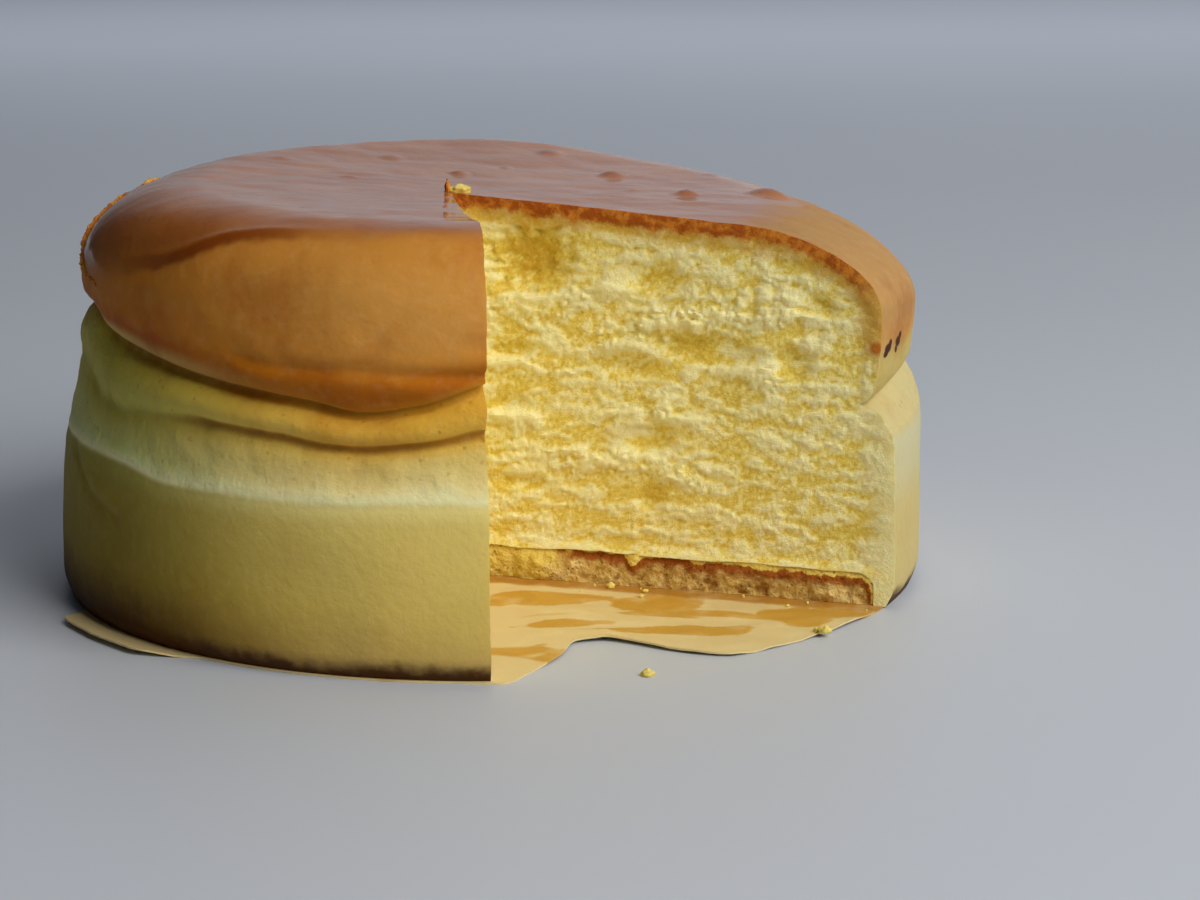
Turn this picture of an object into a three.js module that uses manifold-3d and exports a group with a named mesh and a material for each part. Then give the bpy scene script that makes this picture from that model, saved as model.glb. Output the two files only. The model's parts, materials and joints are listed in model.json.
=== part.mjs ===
// A tall cotton cheesecake with one slice taken out: a soft cake with a browned, puffed cap over a pale
// folded wall, a thin sponge layer under it, and the disc of baking paper it was baked on.
// Millimetres, +Z up. The origin is on the underside of the paper, on the axis of the cake tin.
// Azimuths are in degrees from +X, counter-clockwise seen from above. The missing slice faces -Y and +X.

import * as THREE from 'three';
import { mergeGeometries, mergeVertices } from 'three/addons/utils/BufferGeometryUtils.js';
import { ImprovedNoise } from 'three/addons/math/ImprovedNoise.js';
import Module from 'manifold-3d';

const wasm = await Module();
wasm.setup();

// ---- driving dimensions -------------------------------------------------------------------------------

const PAPER_THICKNESS = 0.4;
const GAP = 0.3;                                   // left between pieces that touch
const CAKE_FLOOR = PAPER_THICKNESS + GAP;          // the height at which the cake and the sponge start

const SPONGE_RADIUS = 84.3;
const SPONGE_TOP = 7.2;
const SPONGE_EDGE_ROUND = 2.2;

const SLICE_APEX = new THREE.Vector2(-8.4, -4.5);  // just off the tin's axis
const RIGHT_CUT_AZIMUTH = -19.8;
const LEFT_CUT_AZIMUTH = -84.9;
const CUT_REACH = 120;                             // the length of the slice from the apex, past the wall
const CUT_TOP = 96;

const CENTRE_HEIGHT = 80.5;                        // the top at the tin's axis
const TOP_TILT = 3.2;                              // how far the top falls towards TOP_TILT_AZIMUTH
const TOP_TILT_AZIMUTH = -20;

const AZIMUTH_STEPS = 90;                          // columns round the cake

// The side has the same features all round, each at a height and a radius that wander with the azimuth.
// Each list holds [azimuth, millimetres] where that feature turns.
const FEATURES = {
  wallRadius: [[-170, 90.3], [-120, 90], [-90, 89.6], [-24, 88.4], [0, 90], [90, 90], [150, 90.2]],
  wallTaper: [[-170, 1.2], [-120, 0.6], [-90, 0.6], [-24, 0.4], [0, 0.2], [90, 0.6]],
  // the ridge at the top of the smooth wall
  ridgeHeight: [[-165, 35.5], [-146, 35.4], [-134, 33.5], [-117, 33.7], [-92, 34.7], [-24, 36], [0, 37.5],
    [90, 36], [175, 34.5]],
  ridgeRadius: [[-165, 88], [-120, 88.4], [-92, 88.2], [-24, 87.2], [0, 89.5], [90, 88.5], [175, 88]],
  // the crease under the soft roll
  creaseHeight: [[-164, 49.6], [-157, 45.6], [-150, 44], [-133, 45], [-120, 44.2], [-108, 42.6], [-97, 44.3],
    [-90, 46.6], [-24, 39.7], [0, 42], [45, 42], [90, 45], [130, 44], [175, 48]],
  creaseRadius: [[-164, 85], [-133, 85.4], [-108, 85.2], [-92, 86], [-24, 84.5], [0, 88.2], [45, 87.5],
    [90, 86], [175, 85.3]],
  rollBulge: [[-164, 0.8], [-133, 1.7], [-108, 1.7], [-92, 1.2], [-24, 0], [0, 0.3], [45, 0.6], [90, 1.6],
    [175, 1]],
  // the deep fold under the browned cap
  foldHeight: [[-161, 61.6], [-154, 58], [-143, 55.6], [-129, 52.8], [-114, 50.6], [-107, 49], [-99, 51],
    [-88, 56], [-24, 41.5], [-12, 45], [0, 46.3], [60, 50], [120, 55], [172, 58.5]],
  foldRadius: [[-161, 82.4], [-130, 83], [-107, 83], [-92, 84.6], [-24, 80.4], [-12, 84], [0, 85.6],
    [60, 84], [120, 83], [172, 82.3]],
  // the cap's widest line, and the crest where its shoulder meets the flat top
  capHeight: [[-170, 68], [-143, 68], [-120, 67], [-90, 66], [-24, 60], [0, 59.3], [60, 63], [120, 67]],
  capRadius: [[-170, 84.8], [-143, 86], [-120, 87.2], [-90, 87.6], [-24, 84.8], [0, 88.2], [60, 87],
    [120, 86], [175, 84.4]],
  crestHeight: [[-150, 84.6], [-120, 84], [-88, 83.6], [-24, 77.3], [0, 78.3], [20, 78.6], [42, 80.3],
    [58, 81.5], [69, 82.8], [80, 84.3], [90, 85], [110, 85.2], [140, 85.2], [172, 84.6]],
  crestRadius: [[-150, 64], [-120, 68], [-88, 72], [-24, 50], [0, 53], [42, 57], [90, 62], [175, 60]],
  shoulderFullness: [[-175, 1.95], [-120, 2.4], [-88, 2.8], [-24, 1.9], [0, 1.8], [90, 2], [160, 1.85]],
};

// Steps of each stretch of the profile, from the foot up to the centre of the top.
const STEPS = { foot: 1, wall: 3, shoulder: 2, band: 3, roll: 4, lip: 4, cap: 7, top: 9 };

// Torn hollows (depth > 0) and standing flakes (depth < 0) on the right-hand cut: the distance from the
// apex along the cut, the height, half the length, half the height and the depth.
const RIGHT_TEARS = [
  [16, 68, 8, 6.5, 4.6], [17, 59, 9, 4, -1.6], [33, 62.4, 8, 1.8, -1], [43, 65, 6, 3, 1.8],
  [47, 55.4, 7, 2.8, -1.5], [56, 57.4, 6, 2.8, -1.3], [68, 60, 8, 3, -1.2], [38, 50.6, 8, 3.2, -1.3],
  [38, 47, 6.5, 2.4, 1.9], [49, 51.6, 5.5, 2.6, 1.8], [15, 45.6, 8, 2, -1.2], [12.5, 48.6, 5, 1.6, 2],
  [77, 61, 4, 2, 1.9], [69, 53, 7, 2, -1], [73, 49, 3.6, 3.2, 1.9], [57, 50.4, 7, 3.4, 1.6],
  [64, 46.4, 8, 2, -1.2], [12, 37.4, 4.4, 1.8, 1.8], [14, 34.4, 7, 2, -1.1], [45, 39, 3.6, 2, -1.1],
  [42, 35.8, 9, 2, -1.1], [43, 32, 4.4, 3.4, 2], [34, 26.6, 12, 2.4, -1.3], [14.4, 20.8, 6.4, 1.4, 1.8],
  [49.6, 24.4, 5, 1.8, -1.1], [42.4, 19.2, 2.8, 3.2, 1.8],
];
const CRUMB_DEPTH = 1.5;                           // of the unevenness between the tears
const CRUMB_FLOOR = 0.5;                           // how far the crumb lies behind the knife's plane
const CRUST_MARGIN = 6;                            // the relief fades out over this distance to the crust

const BUBBLES = [[59, 15, 5.4, 1.5], [41, 10, 3.2, 1.1], [-7, 24, 3, 0.8], [26, 30, 3.4, 0.9]]; // x, y, radius, height

const RIM_STATIONS = [[-154, 0.02], [-163, 0.06], [-172, 0.14], [178, 0.25], [168, 0.42], [158, 0.58], [150, 0.68]];
const RIM_WIDTH = 1.5;                             // the torn crust edge that stands along the cap's left side
const RIM_HEIGHT = 1.3;

const PAPER_RADIUS = [[-175, 87], [-160, 88], [-153, 95.6], [-137, 95.8], [-128, 89], [-95, 88.6], [-89, 89.4],
  [-86, 83], [-80, 71.6], [-75.5, 62.6], [-71, 63], [-67, 67.4], [-64, 74], [-61, 80], [-57, 84.6], [-46, 85],
  [-33, 85.6], [-20, 86.6], [0, 87.4], [90, 86.6]];
const PAPER_COLUMNS = 80;
const PAPER_RINGS = 6;
const PRESSED_RADIUS = 90.5;                       // the cake's foot holds the paper down out to here
const PAPER_LIFT = 1.1;                            // of its free edge outside the cake's foot
const PAPER_WRINKLE = 0.7;                         // of its wrinkles where the slice is missing

// ---- small helpers ------------------------------------------------------------------------------------

const noise = new ImprovedNoise();
const radians = THREE.MathUtils.degToRad;
const wrapAzimuth = (azimuth) => THREE.MathUtils.euclideanModulo(azimuth + 180, 360) - 180;
const bell = (distance) => Math.exp(-distance * distance);

// A smooth function of the azimuth through [azimuth, value] pairs, with no overshoot between them.
function around(pairs) {
  const sorted = [...pairs].sort((a, b) => a[0] - b[0]);
  const count = sorted.length;
  const at = (k) => [sorted[((k % count) + count) % count][0] + 360 * Math.floor(k / count),
    sorted[((k % count) + count) % count][1]];
  const rise = (k) => (at(k + 1)[1] - at(k)[1]) / (at(k + 1)[0] - at(k)[0]);
  const slope = (k) => (rise(k - 1) * rise(k) <= 0 ? 0 : 2 / (1 / rise(k - 1) + 1 / rise(k)));
  return (azimuth) => {
    const wrapped = wrapAzimuth(azimuth);
    let k = -1;
    while (k < count - 1 && at(k + 1)[0] <= wrapped) k += 1;
    const [x0, y0] = at(k);
    const [x1, y1] = at(k + 1);
    const span = x1 - x0;
    const t = (wrapped - x0) / span;
    return y0 * (1 + 2 * t) * (1 - t) ** 2 + slope(k) * span * t * (1 - t) ** 2
      + y1 * t * t * (3 - 2 * t) - slope(k + 1) * span * t * t * (1 - t);
  };
}

const feature = Object.fromEntries(Object.entries(FEATURES).map(([name, pairs]) => [name, around(pairs)]));

// A closed geometry as a solid for joining and cutting.
function toSolid(geometry) {
  geometry.deleteAttribute('normal');
  geometry.deleteAttribute('uv');
  const merged = mergeVertices(geometry, 1e-4);
  const index = merged.index.array;
  const triangles = [];
  for (let k = 0; k < index.length; k += 3) {
    const [a, b, c] = [index[k], index[k + 1], index[k + 2]];
    if (a !== b && b !== c && c !== a) triangles.push(a, b, c);
  }
  return new wasm.Manifold(new wasm.Mesh({
    numProp: 3,
    vertProperties: new Float32Array(merged.attributes.position.array),
    triVerts: new Uint32Array(triangles),
  }));
}

function toGeometry(solid) {
  const mesh = solid.getMesh();
  const geometry = new THREE.BufferGeometry();
  geometry.setAttribute('position', new THREE.BufferAttribute(new Float32Array(mesh.vertProperties), 3));
  geometry.setIndex(new THREE.BufferAttribute(new Uint32Array(mesh.triVerts), 1));
  geometry.computeVertexNormals();
  return geometry;
}

// ---- the cake's outside -------------------------------------------------------------------------------

// The profile at one azimuth: [radius, height] from the foot to the centre of the top.
function profile(azimuth) {
  const f = Object.fromEntries(Object.entries(feature).map(([name, value]) => [name, value(azimuth)]));
  const shoulderHeight = f.ridgeHeight - 5;
  const shoulderRadius = f.wallRadius - f.wallTaper;
  const mix = THREE.MathUtils.lerp;
  const slant = -TOP_TILT * Math.cos(radians(azimuth - TOP_TILT_AZIMUTH));
  const stretches = {
    foot: (t) => [f.wallRadius - 1.6 * (1 - t) ** 2, mix(CAKE_FLOOR, 5, t)],
    wall: (t) => [f.wallRadius - f.wallTaper * t * t, mix(5, shoulderHeight, t)],
    shoulder: (t) => [mix(shoulderRadius, f.ridgeRadius, t * t), mix(shoulderHeight, f.ridgeHeight, t)],
    band: (t) => [mix(f.ridgeRadius, f.creaseRadius, t), mix(f.ridgeHeight, f.creaseHeight, t)],
    roll: (t) => [mix(f.creaseRadius, f.foldRadius, t) + f.rollBulge * Math.sin(Math.PI * t),
      mix(f.creaseHeight, f.foldHeight, t)],
    lip: (t) => [mix(f.foldRadius, f.capRadius, (1 - (1 - t) ** 2.2) ** 0.6),
      mix(f.foldHeight, f.capHeight, t ** 1.3)],
    cap: (t) => [mix(f.crestRadius, f.capRadius, Math.max(Math.cos(t * Math.PI / 2), 0) ** (2 / f.shoulderFullness)),
      mix(f.capHeight, f.crestHeight, Math.sin(t * Math.PI / 2) ** (2 / f.shoulderFullness))],
    top: (t) => [f.crestRadius * (1 - t),
      CENTRE_HEIGHT + slant * (1 - t) + (f.crestHeight - CENTRE_HEIGHT - slant) * (1 - t) ** 2],
  };
  const points = [stretches.foot(0)];
  for (const [name, count] of Object.entries(STEPS)) {
    for (let k = 1; k <= count; k += 1) points.push(stretches[name](k / count));
  }
  return points;
}

// The height of the flat top over a point of the plan.
function topHeight(x, y) {
  const azimuth = THREE.MathUtils.radToDeg(Math.atan2(y, x));
  const rings = profile(azimuth);
  const radius = Math.hypot(x, y);
  const inner = rings.findIndex(([r], k) => k > rings.length - 1 - STEPS.top - STEPS.cap && r <= radius);
  const [r1, z1] = rings[inner];
  const [r0, z0] = rings[inner - 1];
  return z0 + (z1 - z0) * (r0 - radius) / (r0 - r1);
}

// A lathed blank whose vertices are then moved out to the profile of their own azimuth.
function cakeBlank() {
  const start = profile(0);
  const outline = [new THREE.Vector2(0, CAKE_FLOOR), ...start.map(([r, z]) => new THREE.Vector2(Math.max(r, 0), z))];
  outline[outline.length - 1].x = 0;
  const lathe = new THREE.LatheGeometry(outline, AZIMUTH_STEPS);
  const position = lathe.attributes.position;
  for (let column = 0; column <= AZIMUTH_STEPS; column += 1) {
    const azimuth = (column % AZIMUTH_STEPS) * 360 / AZIMUTH_STEPS;
    const points = [[0, CAKE_FLOOR], ...profile(azimuth)];
    points.forEach(([r, z], ring) => {
      const k = column * outline.length + ring;
      const onAxis = ring === 0 || ring === points.length - 1;
      const radius = onAxis ? 0 : r;
      position.setXYZ(k, radius * Math.cos(radians(azimuth)), radius * Math.sin(radians(azimuth)),
        onAxis && ring > 0 ? CENTRE_HEIGHT : z);
    });
  }
  return toSolid(lathe);
}

// ---- the missing slice --------------------------------------------------------------------------------

const cutDirection = (azimuth) => new THREE.Vector2(Math.cos(radians(azimuth)), Math.sin(radians(azimuth)));

// How deep the torn crumb lies behind the knife's plane, at a distance along the cut and a height.
function tornDepth(side, along, height) {
  const lengthwise = noise.noise(along / 9, height / 3.2, 7.3 * side + 0.5);
  const lumps = noise.noise(along / 4.5, height / 2.8, 3.1 * side + 11.5);
  let depth = CRUMB_FLOOR + CRUMB_DEPTH * (0.75 * lengthwise + 0.45 * lumps);
  if (side === 1) {
    for (const [s, z, halfLength, halfHeight, tear] of RIGHT_TEARS) {
      depth += tear * bell(Math.hypot((along - s) / halfLength, (height - z) / halfHeight) ** 1.5);
    }
  }
  const direction = cutDirection(side === 1 ? RIGHT_CUT_AZIMUTH : LEFT_CUT_AZIMUTH);
  const x = SLICE_APEX.x + along * direction.x;
  const y = SLICE_APEX.y + along * direction.y;
  const radius = Math.hypot(x, y);
  const belowTop = (radius < 84 ? topHeight(x, y) : 0) - height;
  const inside = THREE.MathUtils.smoothstep(belowTop, 1, CRUST_MARGIN)
    * THREE.MathUtils.smoothstep(along, 1, 10)
    * THREE.MathUtils.smoothstep(83 - radius, 0, CRUST_MARGIN)
    * THREE.MathUtils.smoothstep(height, SPONGE_TOP - 1, SPONGE_TOP + 3);
  return depth * inside;
}

// A box bent into the slice's wedge, its two long faces torn like crumb. side 1 is the right-hand cut.
function sliceCutter(columns, rows, bottom, top, depthAt) {
  const box = new THREE.BoxGeometry(1, 1, 1, columns, 1, rows);
  const position = box.attributes.position;
  for (let k = 0; k < position.count; k += 1) {
    const along = (position.getX(k) + 0.5) * CUT_REACH;
    const side = position.getY(k) > 0 ? 1 : 0;
    const height = THREE.MathUtils.lerp(bottom, top, position.getZ(k) + 0.5);
    const azimuth = side === 1 ? RIGHT_CUT_AZIMUTH : LEFT_CUT_AZIMUTH;
    const direction = cutDirection(azimuth);
    const outward = cutDirection(side === 1 ? azimuth + 90 : azimuth - 90);
    const depth = 0.15 + depthAt(side, along, height);
    position.setXYZ(k, SLICE_APEX.x + along * direction.x + depth * outward.x,
      SLICE_APEX.y + along * direction.y + depth * outward.y, height);
  }
  return toSolid(box);
}

// ---- what is fused to the top -------------------------------------------------------------------------

function bubble([x, y, radius, height]) {
  const dome = new THREE.SphereGeometry(1, 14, 12);
  dome.rotateX(Math.PI / 2).scale(radius * 1.3, radius * 1.3, 2 * height);
  dome.translate(x, y, topHeight(x, y) - height);
  return toSolid(dome);
}

// The torn edge of the crust, a low ragged fin along the left side of the cap.
function tornRim() {
  const path = RIM_STATIONS.map(([azimuth, share]) => {
    const points = profile(azimuth);
    const first = points.length - 1 - STEPS.top - STEPS.cap;
    const k = share * STEPS.cap;
    const low = points[first + Math.floor(k)];
    const high = points[first + Math.floor(k) + 1];
    const radius = THREE.MathUtils.lerp(low[0], high[0], k % 1);
    const height = THREE.MathUtils.lerp(low[1], high[1], k % 1);
    return new THREE.Vector3(radius * Math.cos(radians(azimuth)), radius * Math.sin(radians(azimuth)), height);
  });
  const section = new THREE.Shape();
  section.absellipse(0, 0, RIM_HEIGHT, RIM_WIDTH / 2, 0, 2 * Math.PI);
  const fin = new THREE.ExtrudeGeometry(section, {
    curveSegments: 3, steps: 34, extrudePath: new THREE.CatmullRomCurve3(path),
  });
  const position = fin.attributes.position;
  for (let k = 0; k < position.count; k += 1) {
    const point = new THREE.Vector3().fromBufferAttribute(position, k);
    const ragged = 0.45 * noise.noise(point.x / 2.5, point.y / 2.5, point.z / 2.5);
    const out = new THREE.Vector2(point.x, point.y).normalize();
    position.setXYZ(k, point.x + ragged * out.x, point.y + ragged * out.y, point.z + ragged);
  }
  return toSolid(fin);
}

// A small curl of crust that stands at the apex of the cut, with a crumb hanging from it.
function apexCurl() {
  const outline = new THREE.Shape([[-2.4, -1.5], [-1.7, -1.5], [2.2, -0.4], [2.6, 1.3], [1.2, 1.9], [-0.6, 1.7],
    [-1.6, 2.4], [-2.5, 2]].map(([u, v]) => new THREE.Vector2(u, v)));
  const flake = new THREE.ExtrudeGeometry(outline, { depth: 1.4, bevelEnabled: false, steps: 2 });
  flake.rotateX(Math.PI / 2);
  flake.translate(SLICE_APEX.x + 1.2, SLICE_APEX.y + 2, topHeight(SLICE_APEX.x, SLICE_APEX.y) + 0.4);
  return toSolid(flake);
}

// ---- the pieces ---------------------------------------------------------------------------------------

function spongeDisc(radius, bottom, top) {
  const corner = SPONGE_EDGE_ROUND;
  const rounded = Array.from({ length: 4 }, (_, k) => k / 3 * Math.PI / 2).map((angle) => new THREE.Vector2(
    radius - corner + corner * Math.cos(angle), top - corner + corner * Math.sin(angle)));
  const lathe = new THREE.LatheGeometry([new THREE.Vector2(0, bottom), new THREE.Vector2(radius, bottom),
    ...rounded, new THREE.Vector2(0, top)], 72);
  return toSolid(lathe.rotateX(Math.PI / 2));
}

function makeCheesecake() {
  const slice = sliceCutter(28, 30, CAKE_FLOOR - 1, CUT_TOP, tornDepth);
  const pocket = spongeDisc(SPONGE_RADIUS + GAP, CAKE_FLOOR - 1, SPONGE_TOP + GAP);
  let cake = cakeBlank().subtract(slice).subtract(pocket);
  for (const added of [...BUBBLES.map(bubble), tornRim(), apexCurl()]) cake = cake.add(added);
  return toGeometry(cake);
}

function makeSpongeBase() {
  const coarse = (side, along, height) => 0.5 + 0.45 * noise.noise(along / 4, height / 2.5, 5.2 * side + 3.5);
  const slice = sliceCutter(30, 6, CAKE_FLOOR - 1, SPONGE_TOP + 1, coarse);
  return toGeometry(spongeDisc(SPONGE_RADIUS, CAKE_FLOOR, SPONGE_TOP).subtract(slice));
}

// How far the paper stands off the floor: only where the cake doesn't press it down.
function paperLift(x, y) {
  const azimuth = THREE.MathUtils.radToDeg(Math.atan2(y, x));
  const free = THREE.MathUtils.smoothstep(Math.hypot(x, y), PRESSED_RADIUS, 96) * PAPER_LIFT;
  const fromRight = -(x - SLICE_APEX.x) * Math.sin(radians(-RIGHT_CUT_AZIMUTH))
    - (y - SLICE_APEX.y) * Math.cos(radians(-RIGHT_CUT_AZIMUTH));
  const fromLeft = -(x - SLICE_APEX.x) * Math.sin(radians(LEFT_CUT_AZIMUTH))
    + (y - SLICE_APEX.y) * Math.cos(radians(LEFT_CUT_AZIMUTH));
  const inSlice = Math.min(fromRight, fromLeft);
  const wrinkle = PAPER_WRINKLE * (0.5 + 0.5 * Math.sin(radians(9 * azimuth)));
  return inSlice > 0 ? wrinkle * THREE.MathUtils.smoothstep(inSlice, 9, 16) : free;
}

function makeBakingPaper() {
  const sheet = new THREE.RingGeometry(0, 1, PAPER_COLUMNS, PAPER_RINGS);
  sheet.translate(0, 0, 0.5);
  const underside = sheet.clone().translate(0, 0, -1);
  underside.index.array.reverse();
  const edge = new THREE.CylinderGeometry(1, 1, 1, PAPER_COLUMNS, 1, true).rotateX(Math.PI / 2);
  const paper = mergeGeometries([sheet, underside, edge]);
  const radiusAt = around(PAPER_RADIUS);
  const position = paper.attributes.position;
  for (let k = 0; k < position.count; k += 1) {
    const azimuth = Math.atan2(position.getY(k), position.getX(k));
    const share = Math.hypot(position.getX(k), position.getY(k));
    const edgeRadius = radiusAt(THREE.MathUtils.radToDeg(azimuth));
    const pressedRadius = Math.min(edgeRadius - 3, PRESSED_RADIUS);
    const radius = share > 0.999 ? edgeRadius : share * pressedRadius * PAPER_RINGS / (PAPER_RINGS - 1);
    const x = radius * Math.cos(azimuth);
    const y = radius * Math.sin(azimuth);
    position.setXYZ(k, x, y, (position.getZ(k) > 0 ? PAPER_THICKNESS : 0) + paperLift(x, y));
  }
  return toGeometry(toSolid(paper));
}

const cakeFinish = new THREE.MeshStandardMaterial({ color: 0xe0c268, roughness: 0.75, metalness: 0 });
const spongeFinish = new THREE.MeshStandardMaterial({ color: 0xc79a55, roughness: 0.9, metalness: 0 });
const paperFinish = new THREE.MeshStandardMaterial({ color: 0xe3cd9c, roughness: 0.5, metalness: 0 });

const cheesecake = new THREE.Group();
const pieces = [['cheesecake', makeCheesecake, cakeFinish], ['sponge_base', makeSpongeBase, spongeFinish],
  ['baking_paper', makeBakingPaper, paperFinish]];
for (const [name, make, finish] of pieces) {
  const mesh = new THREE.Mesh(make(), finish);
  mesh.name = name;
  cheesecake.add(mesh);
}

export default cheesecake;
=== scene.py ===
import json
import math

import bpy
import numpy as np
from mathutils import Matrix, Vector
from mathutils.bvhtree import BVHTree

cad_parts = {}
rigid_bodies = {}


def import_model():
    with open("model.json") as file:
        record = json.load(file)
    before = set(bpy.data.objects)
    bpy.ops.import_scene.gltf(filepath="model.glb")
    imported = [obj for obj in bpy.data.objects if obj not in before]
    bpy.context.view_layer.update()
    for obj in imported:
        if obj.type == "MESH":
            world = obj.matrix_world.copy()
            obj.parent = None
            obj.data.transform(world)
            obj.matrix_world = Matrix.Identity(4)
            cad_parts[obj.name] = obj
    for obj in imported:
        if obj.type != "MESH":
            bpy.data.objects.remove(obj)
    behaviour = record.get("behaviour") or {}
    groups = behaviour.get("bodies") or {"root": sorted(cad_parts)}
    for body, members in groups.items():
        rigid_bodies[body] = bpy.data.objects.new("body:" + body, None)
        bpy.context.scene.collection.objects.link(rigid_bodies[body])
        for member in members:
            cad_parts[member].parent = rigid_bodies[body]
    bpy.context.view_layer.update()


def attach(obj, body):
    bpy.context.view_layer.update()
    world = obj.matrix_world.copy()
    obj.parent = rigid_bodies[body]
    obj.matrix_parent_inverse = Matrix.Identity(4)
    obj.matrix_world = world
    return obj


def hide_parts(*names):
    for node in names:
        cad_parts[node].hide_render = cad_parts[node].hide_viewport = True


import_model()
mm = 0.001


# small helpers: selecting, reading and writing points, values on points
def onlySelect(piece):
    bpy.ops.object.select_all(action="DESELECT")
    piece.select_set(True)
    bpy.context.view_layer.objects.active = piece


def editAll(piece):
    onlySelect(piece)
    bpy.ops.object.mode_set(mode="EDIT")
    bpy.ops.mesh.select_mode(type="VERT")
    bpy.ops.mesh.select_all(action="SELECT")


def endEdit():
    bpy.ops.object.mode_set(mode="OBJECT")


def getPoints(mesh, what="co"):
    flat = np.empty(len(mesh.vertices) * 3, np.float32)
    mesh.vertices.foreach_get(what, flat)
    return flat.reshape(-1, 3).astype(float)


def setPoints(mesh, points):
    mesh.vertices.foreach_set("co", points.astype(np.float32).ravel())
    mesh.update()


def readAll(parts, name, kind=np.int32):
    values = np.empty(len(parts), kind)
    parts.foreach_get(name, values)
    return values


def getValues(mesh, name):
    return readAll(mesh.attributes[name].data, "value", np.float32).astype(float)


def setValues(mesh, name, values):  # values hold one for each point, or one for all
    store = mesh.attributes.get(name) or mesh.attributes.new(name, "FLOAT", "POINT")
    store.data.foreach_set("value", (np.zeros(len(mesh.vertices)) + values).astype(np.float32))


def azimuthOf(points):
    return np.degrees(np.arctan2(points[:, 1], points[:, 0]))


def polar(radius, azimuth, height):
    turn = np.radians(azimuth)
    return np.c_[radius * np.cos(turn), radius * np.sin(turn), height]


def smoothStep(value, low, high):  # 0 at low and 1 at high, whichever is the larger
    t = np.clip((value - low) / (high - low), 0, 1)
    return t * t * (3 - 2 * t)


def bell(distance):
    return np.exp(-distance * distance)


# noise for whole arrays of points, the same on every run
def hashed(x, y, z, seed):
    h = x * 374761393 + y * 668265263 + z * 1442695041 + seed * 974711
    h = (h ^ (h >> 13)) & 0xFFFFFFFF
    h = (h * 1274126177) & 0xFFFFFFFF
    h = (h ^ (h >> 15)) & 0xFFFFFFFF
    h = (h * 2246822519) & 0xFFFFFFFF
    return h ^ (h >> 16)


def softNoise(x, y, z, seed=0):  # smooth, about -1 to 1
    x, y, z = np.broadcast_arrays(x, y, z)
    cells = [np.floor(v).astype(np.int64) for v in (x, y, z)]
    parts = [v - c for v, c in zip((x, y, z), cells)]
    eased = [p * p * p * (p * (p * 6 - 15) + 10) for p in parts]
    total = np.zeros(x.shape)
    for corner in range(8):
        step = (corner & 1, corner >> 1 & 1, corner >> 2)
        h = hashed(cells[0] + step[0], cells[1] + step[1], cells[2] + step[2], seed)
        slopes = [(h >> shift & 255) / 127.5 - 1 for shift in (0, 8, 16)]
        weight = np.ones(x.shape)
        ramp = np.zeros(x.shape)
        for axis in range(3):
            weight = weight * (eased[axis] if step[axis] else 1 - eased[axis])
            ramp = ramp + slopes[axis] * (parts[axis] - step[axis])
        total += weight * ramp
    return total * 1.3


def cellDistance(x, y, z, seed=0):  # to the nearest of scattered points, one in each unit cell
    x, y, z = np.broadcast_arrays(x, y, z)
    cells = [np.floor(v).astype(np.int64) for v in (x, y, z)]
    nearest = np.full(x.shape, 9.0)
    for corner in range(27):
        step = (corner % 3 - 1, corner // 3 % 3 - 1, corner // 9 - 1)
        at = [c + s for c, s in zip(cells, step)]
        h = hashed(*at, seed)
        gaps = [at[axis] + (h >> 8 * axis & 255) / 255 - (x, y, z)[axis] for axis in range(3)]
        nearest = np.minimum(nearest, gaps[0] ** 2 + gaps[1] ** 2 + gaps[2] ** 2)
    return np.sqrt(nearest)


def around(pairs):  # a smooth function of the azimuth through [azimuth, value] pairs
    ordered = sorted(pairs)
    x, y = np.array(ordered, float).T
    x = np.r_[x[-2:] - 360, x, x[:2] + 360]
    y = np.r_[y[-2:], y, y[:2]]
    rise = np.diff(y) / np.diff(x)
    product = rise[:-1] * rise[1:]
    total = np.where(product > 0, rise[:-1] + rise[1:], 1)
    slope = np.r_[0, np.where(product > 0, 2 * product / total, 0), 0]

    def value(azimuth):
        wrapped = (np.asarray(azimuth, float) + 180) % 360 - 180
        k = np.clip(np.searchsorted(x, wrapped, side="right") - 1, 0, len(x) - 2)
        span = x[k + 1] - x[k]
        t = (wrapped - x[k]) / span
        return (
            y[k] * (1 + 2 * t) * (1 - t) ** 2
            + slope[k] * span * t * (1 - t) ** 2
            + y[k + 1] * t * t * (3 - 2 * t)
            - slope[k + 1] * span * t * t * (1 - t)
        )

    return value


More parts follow.
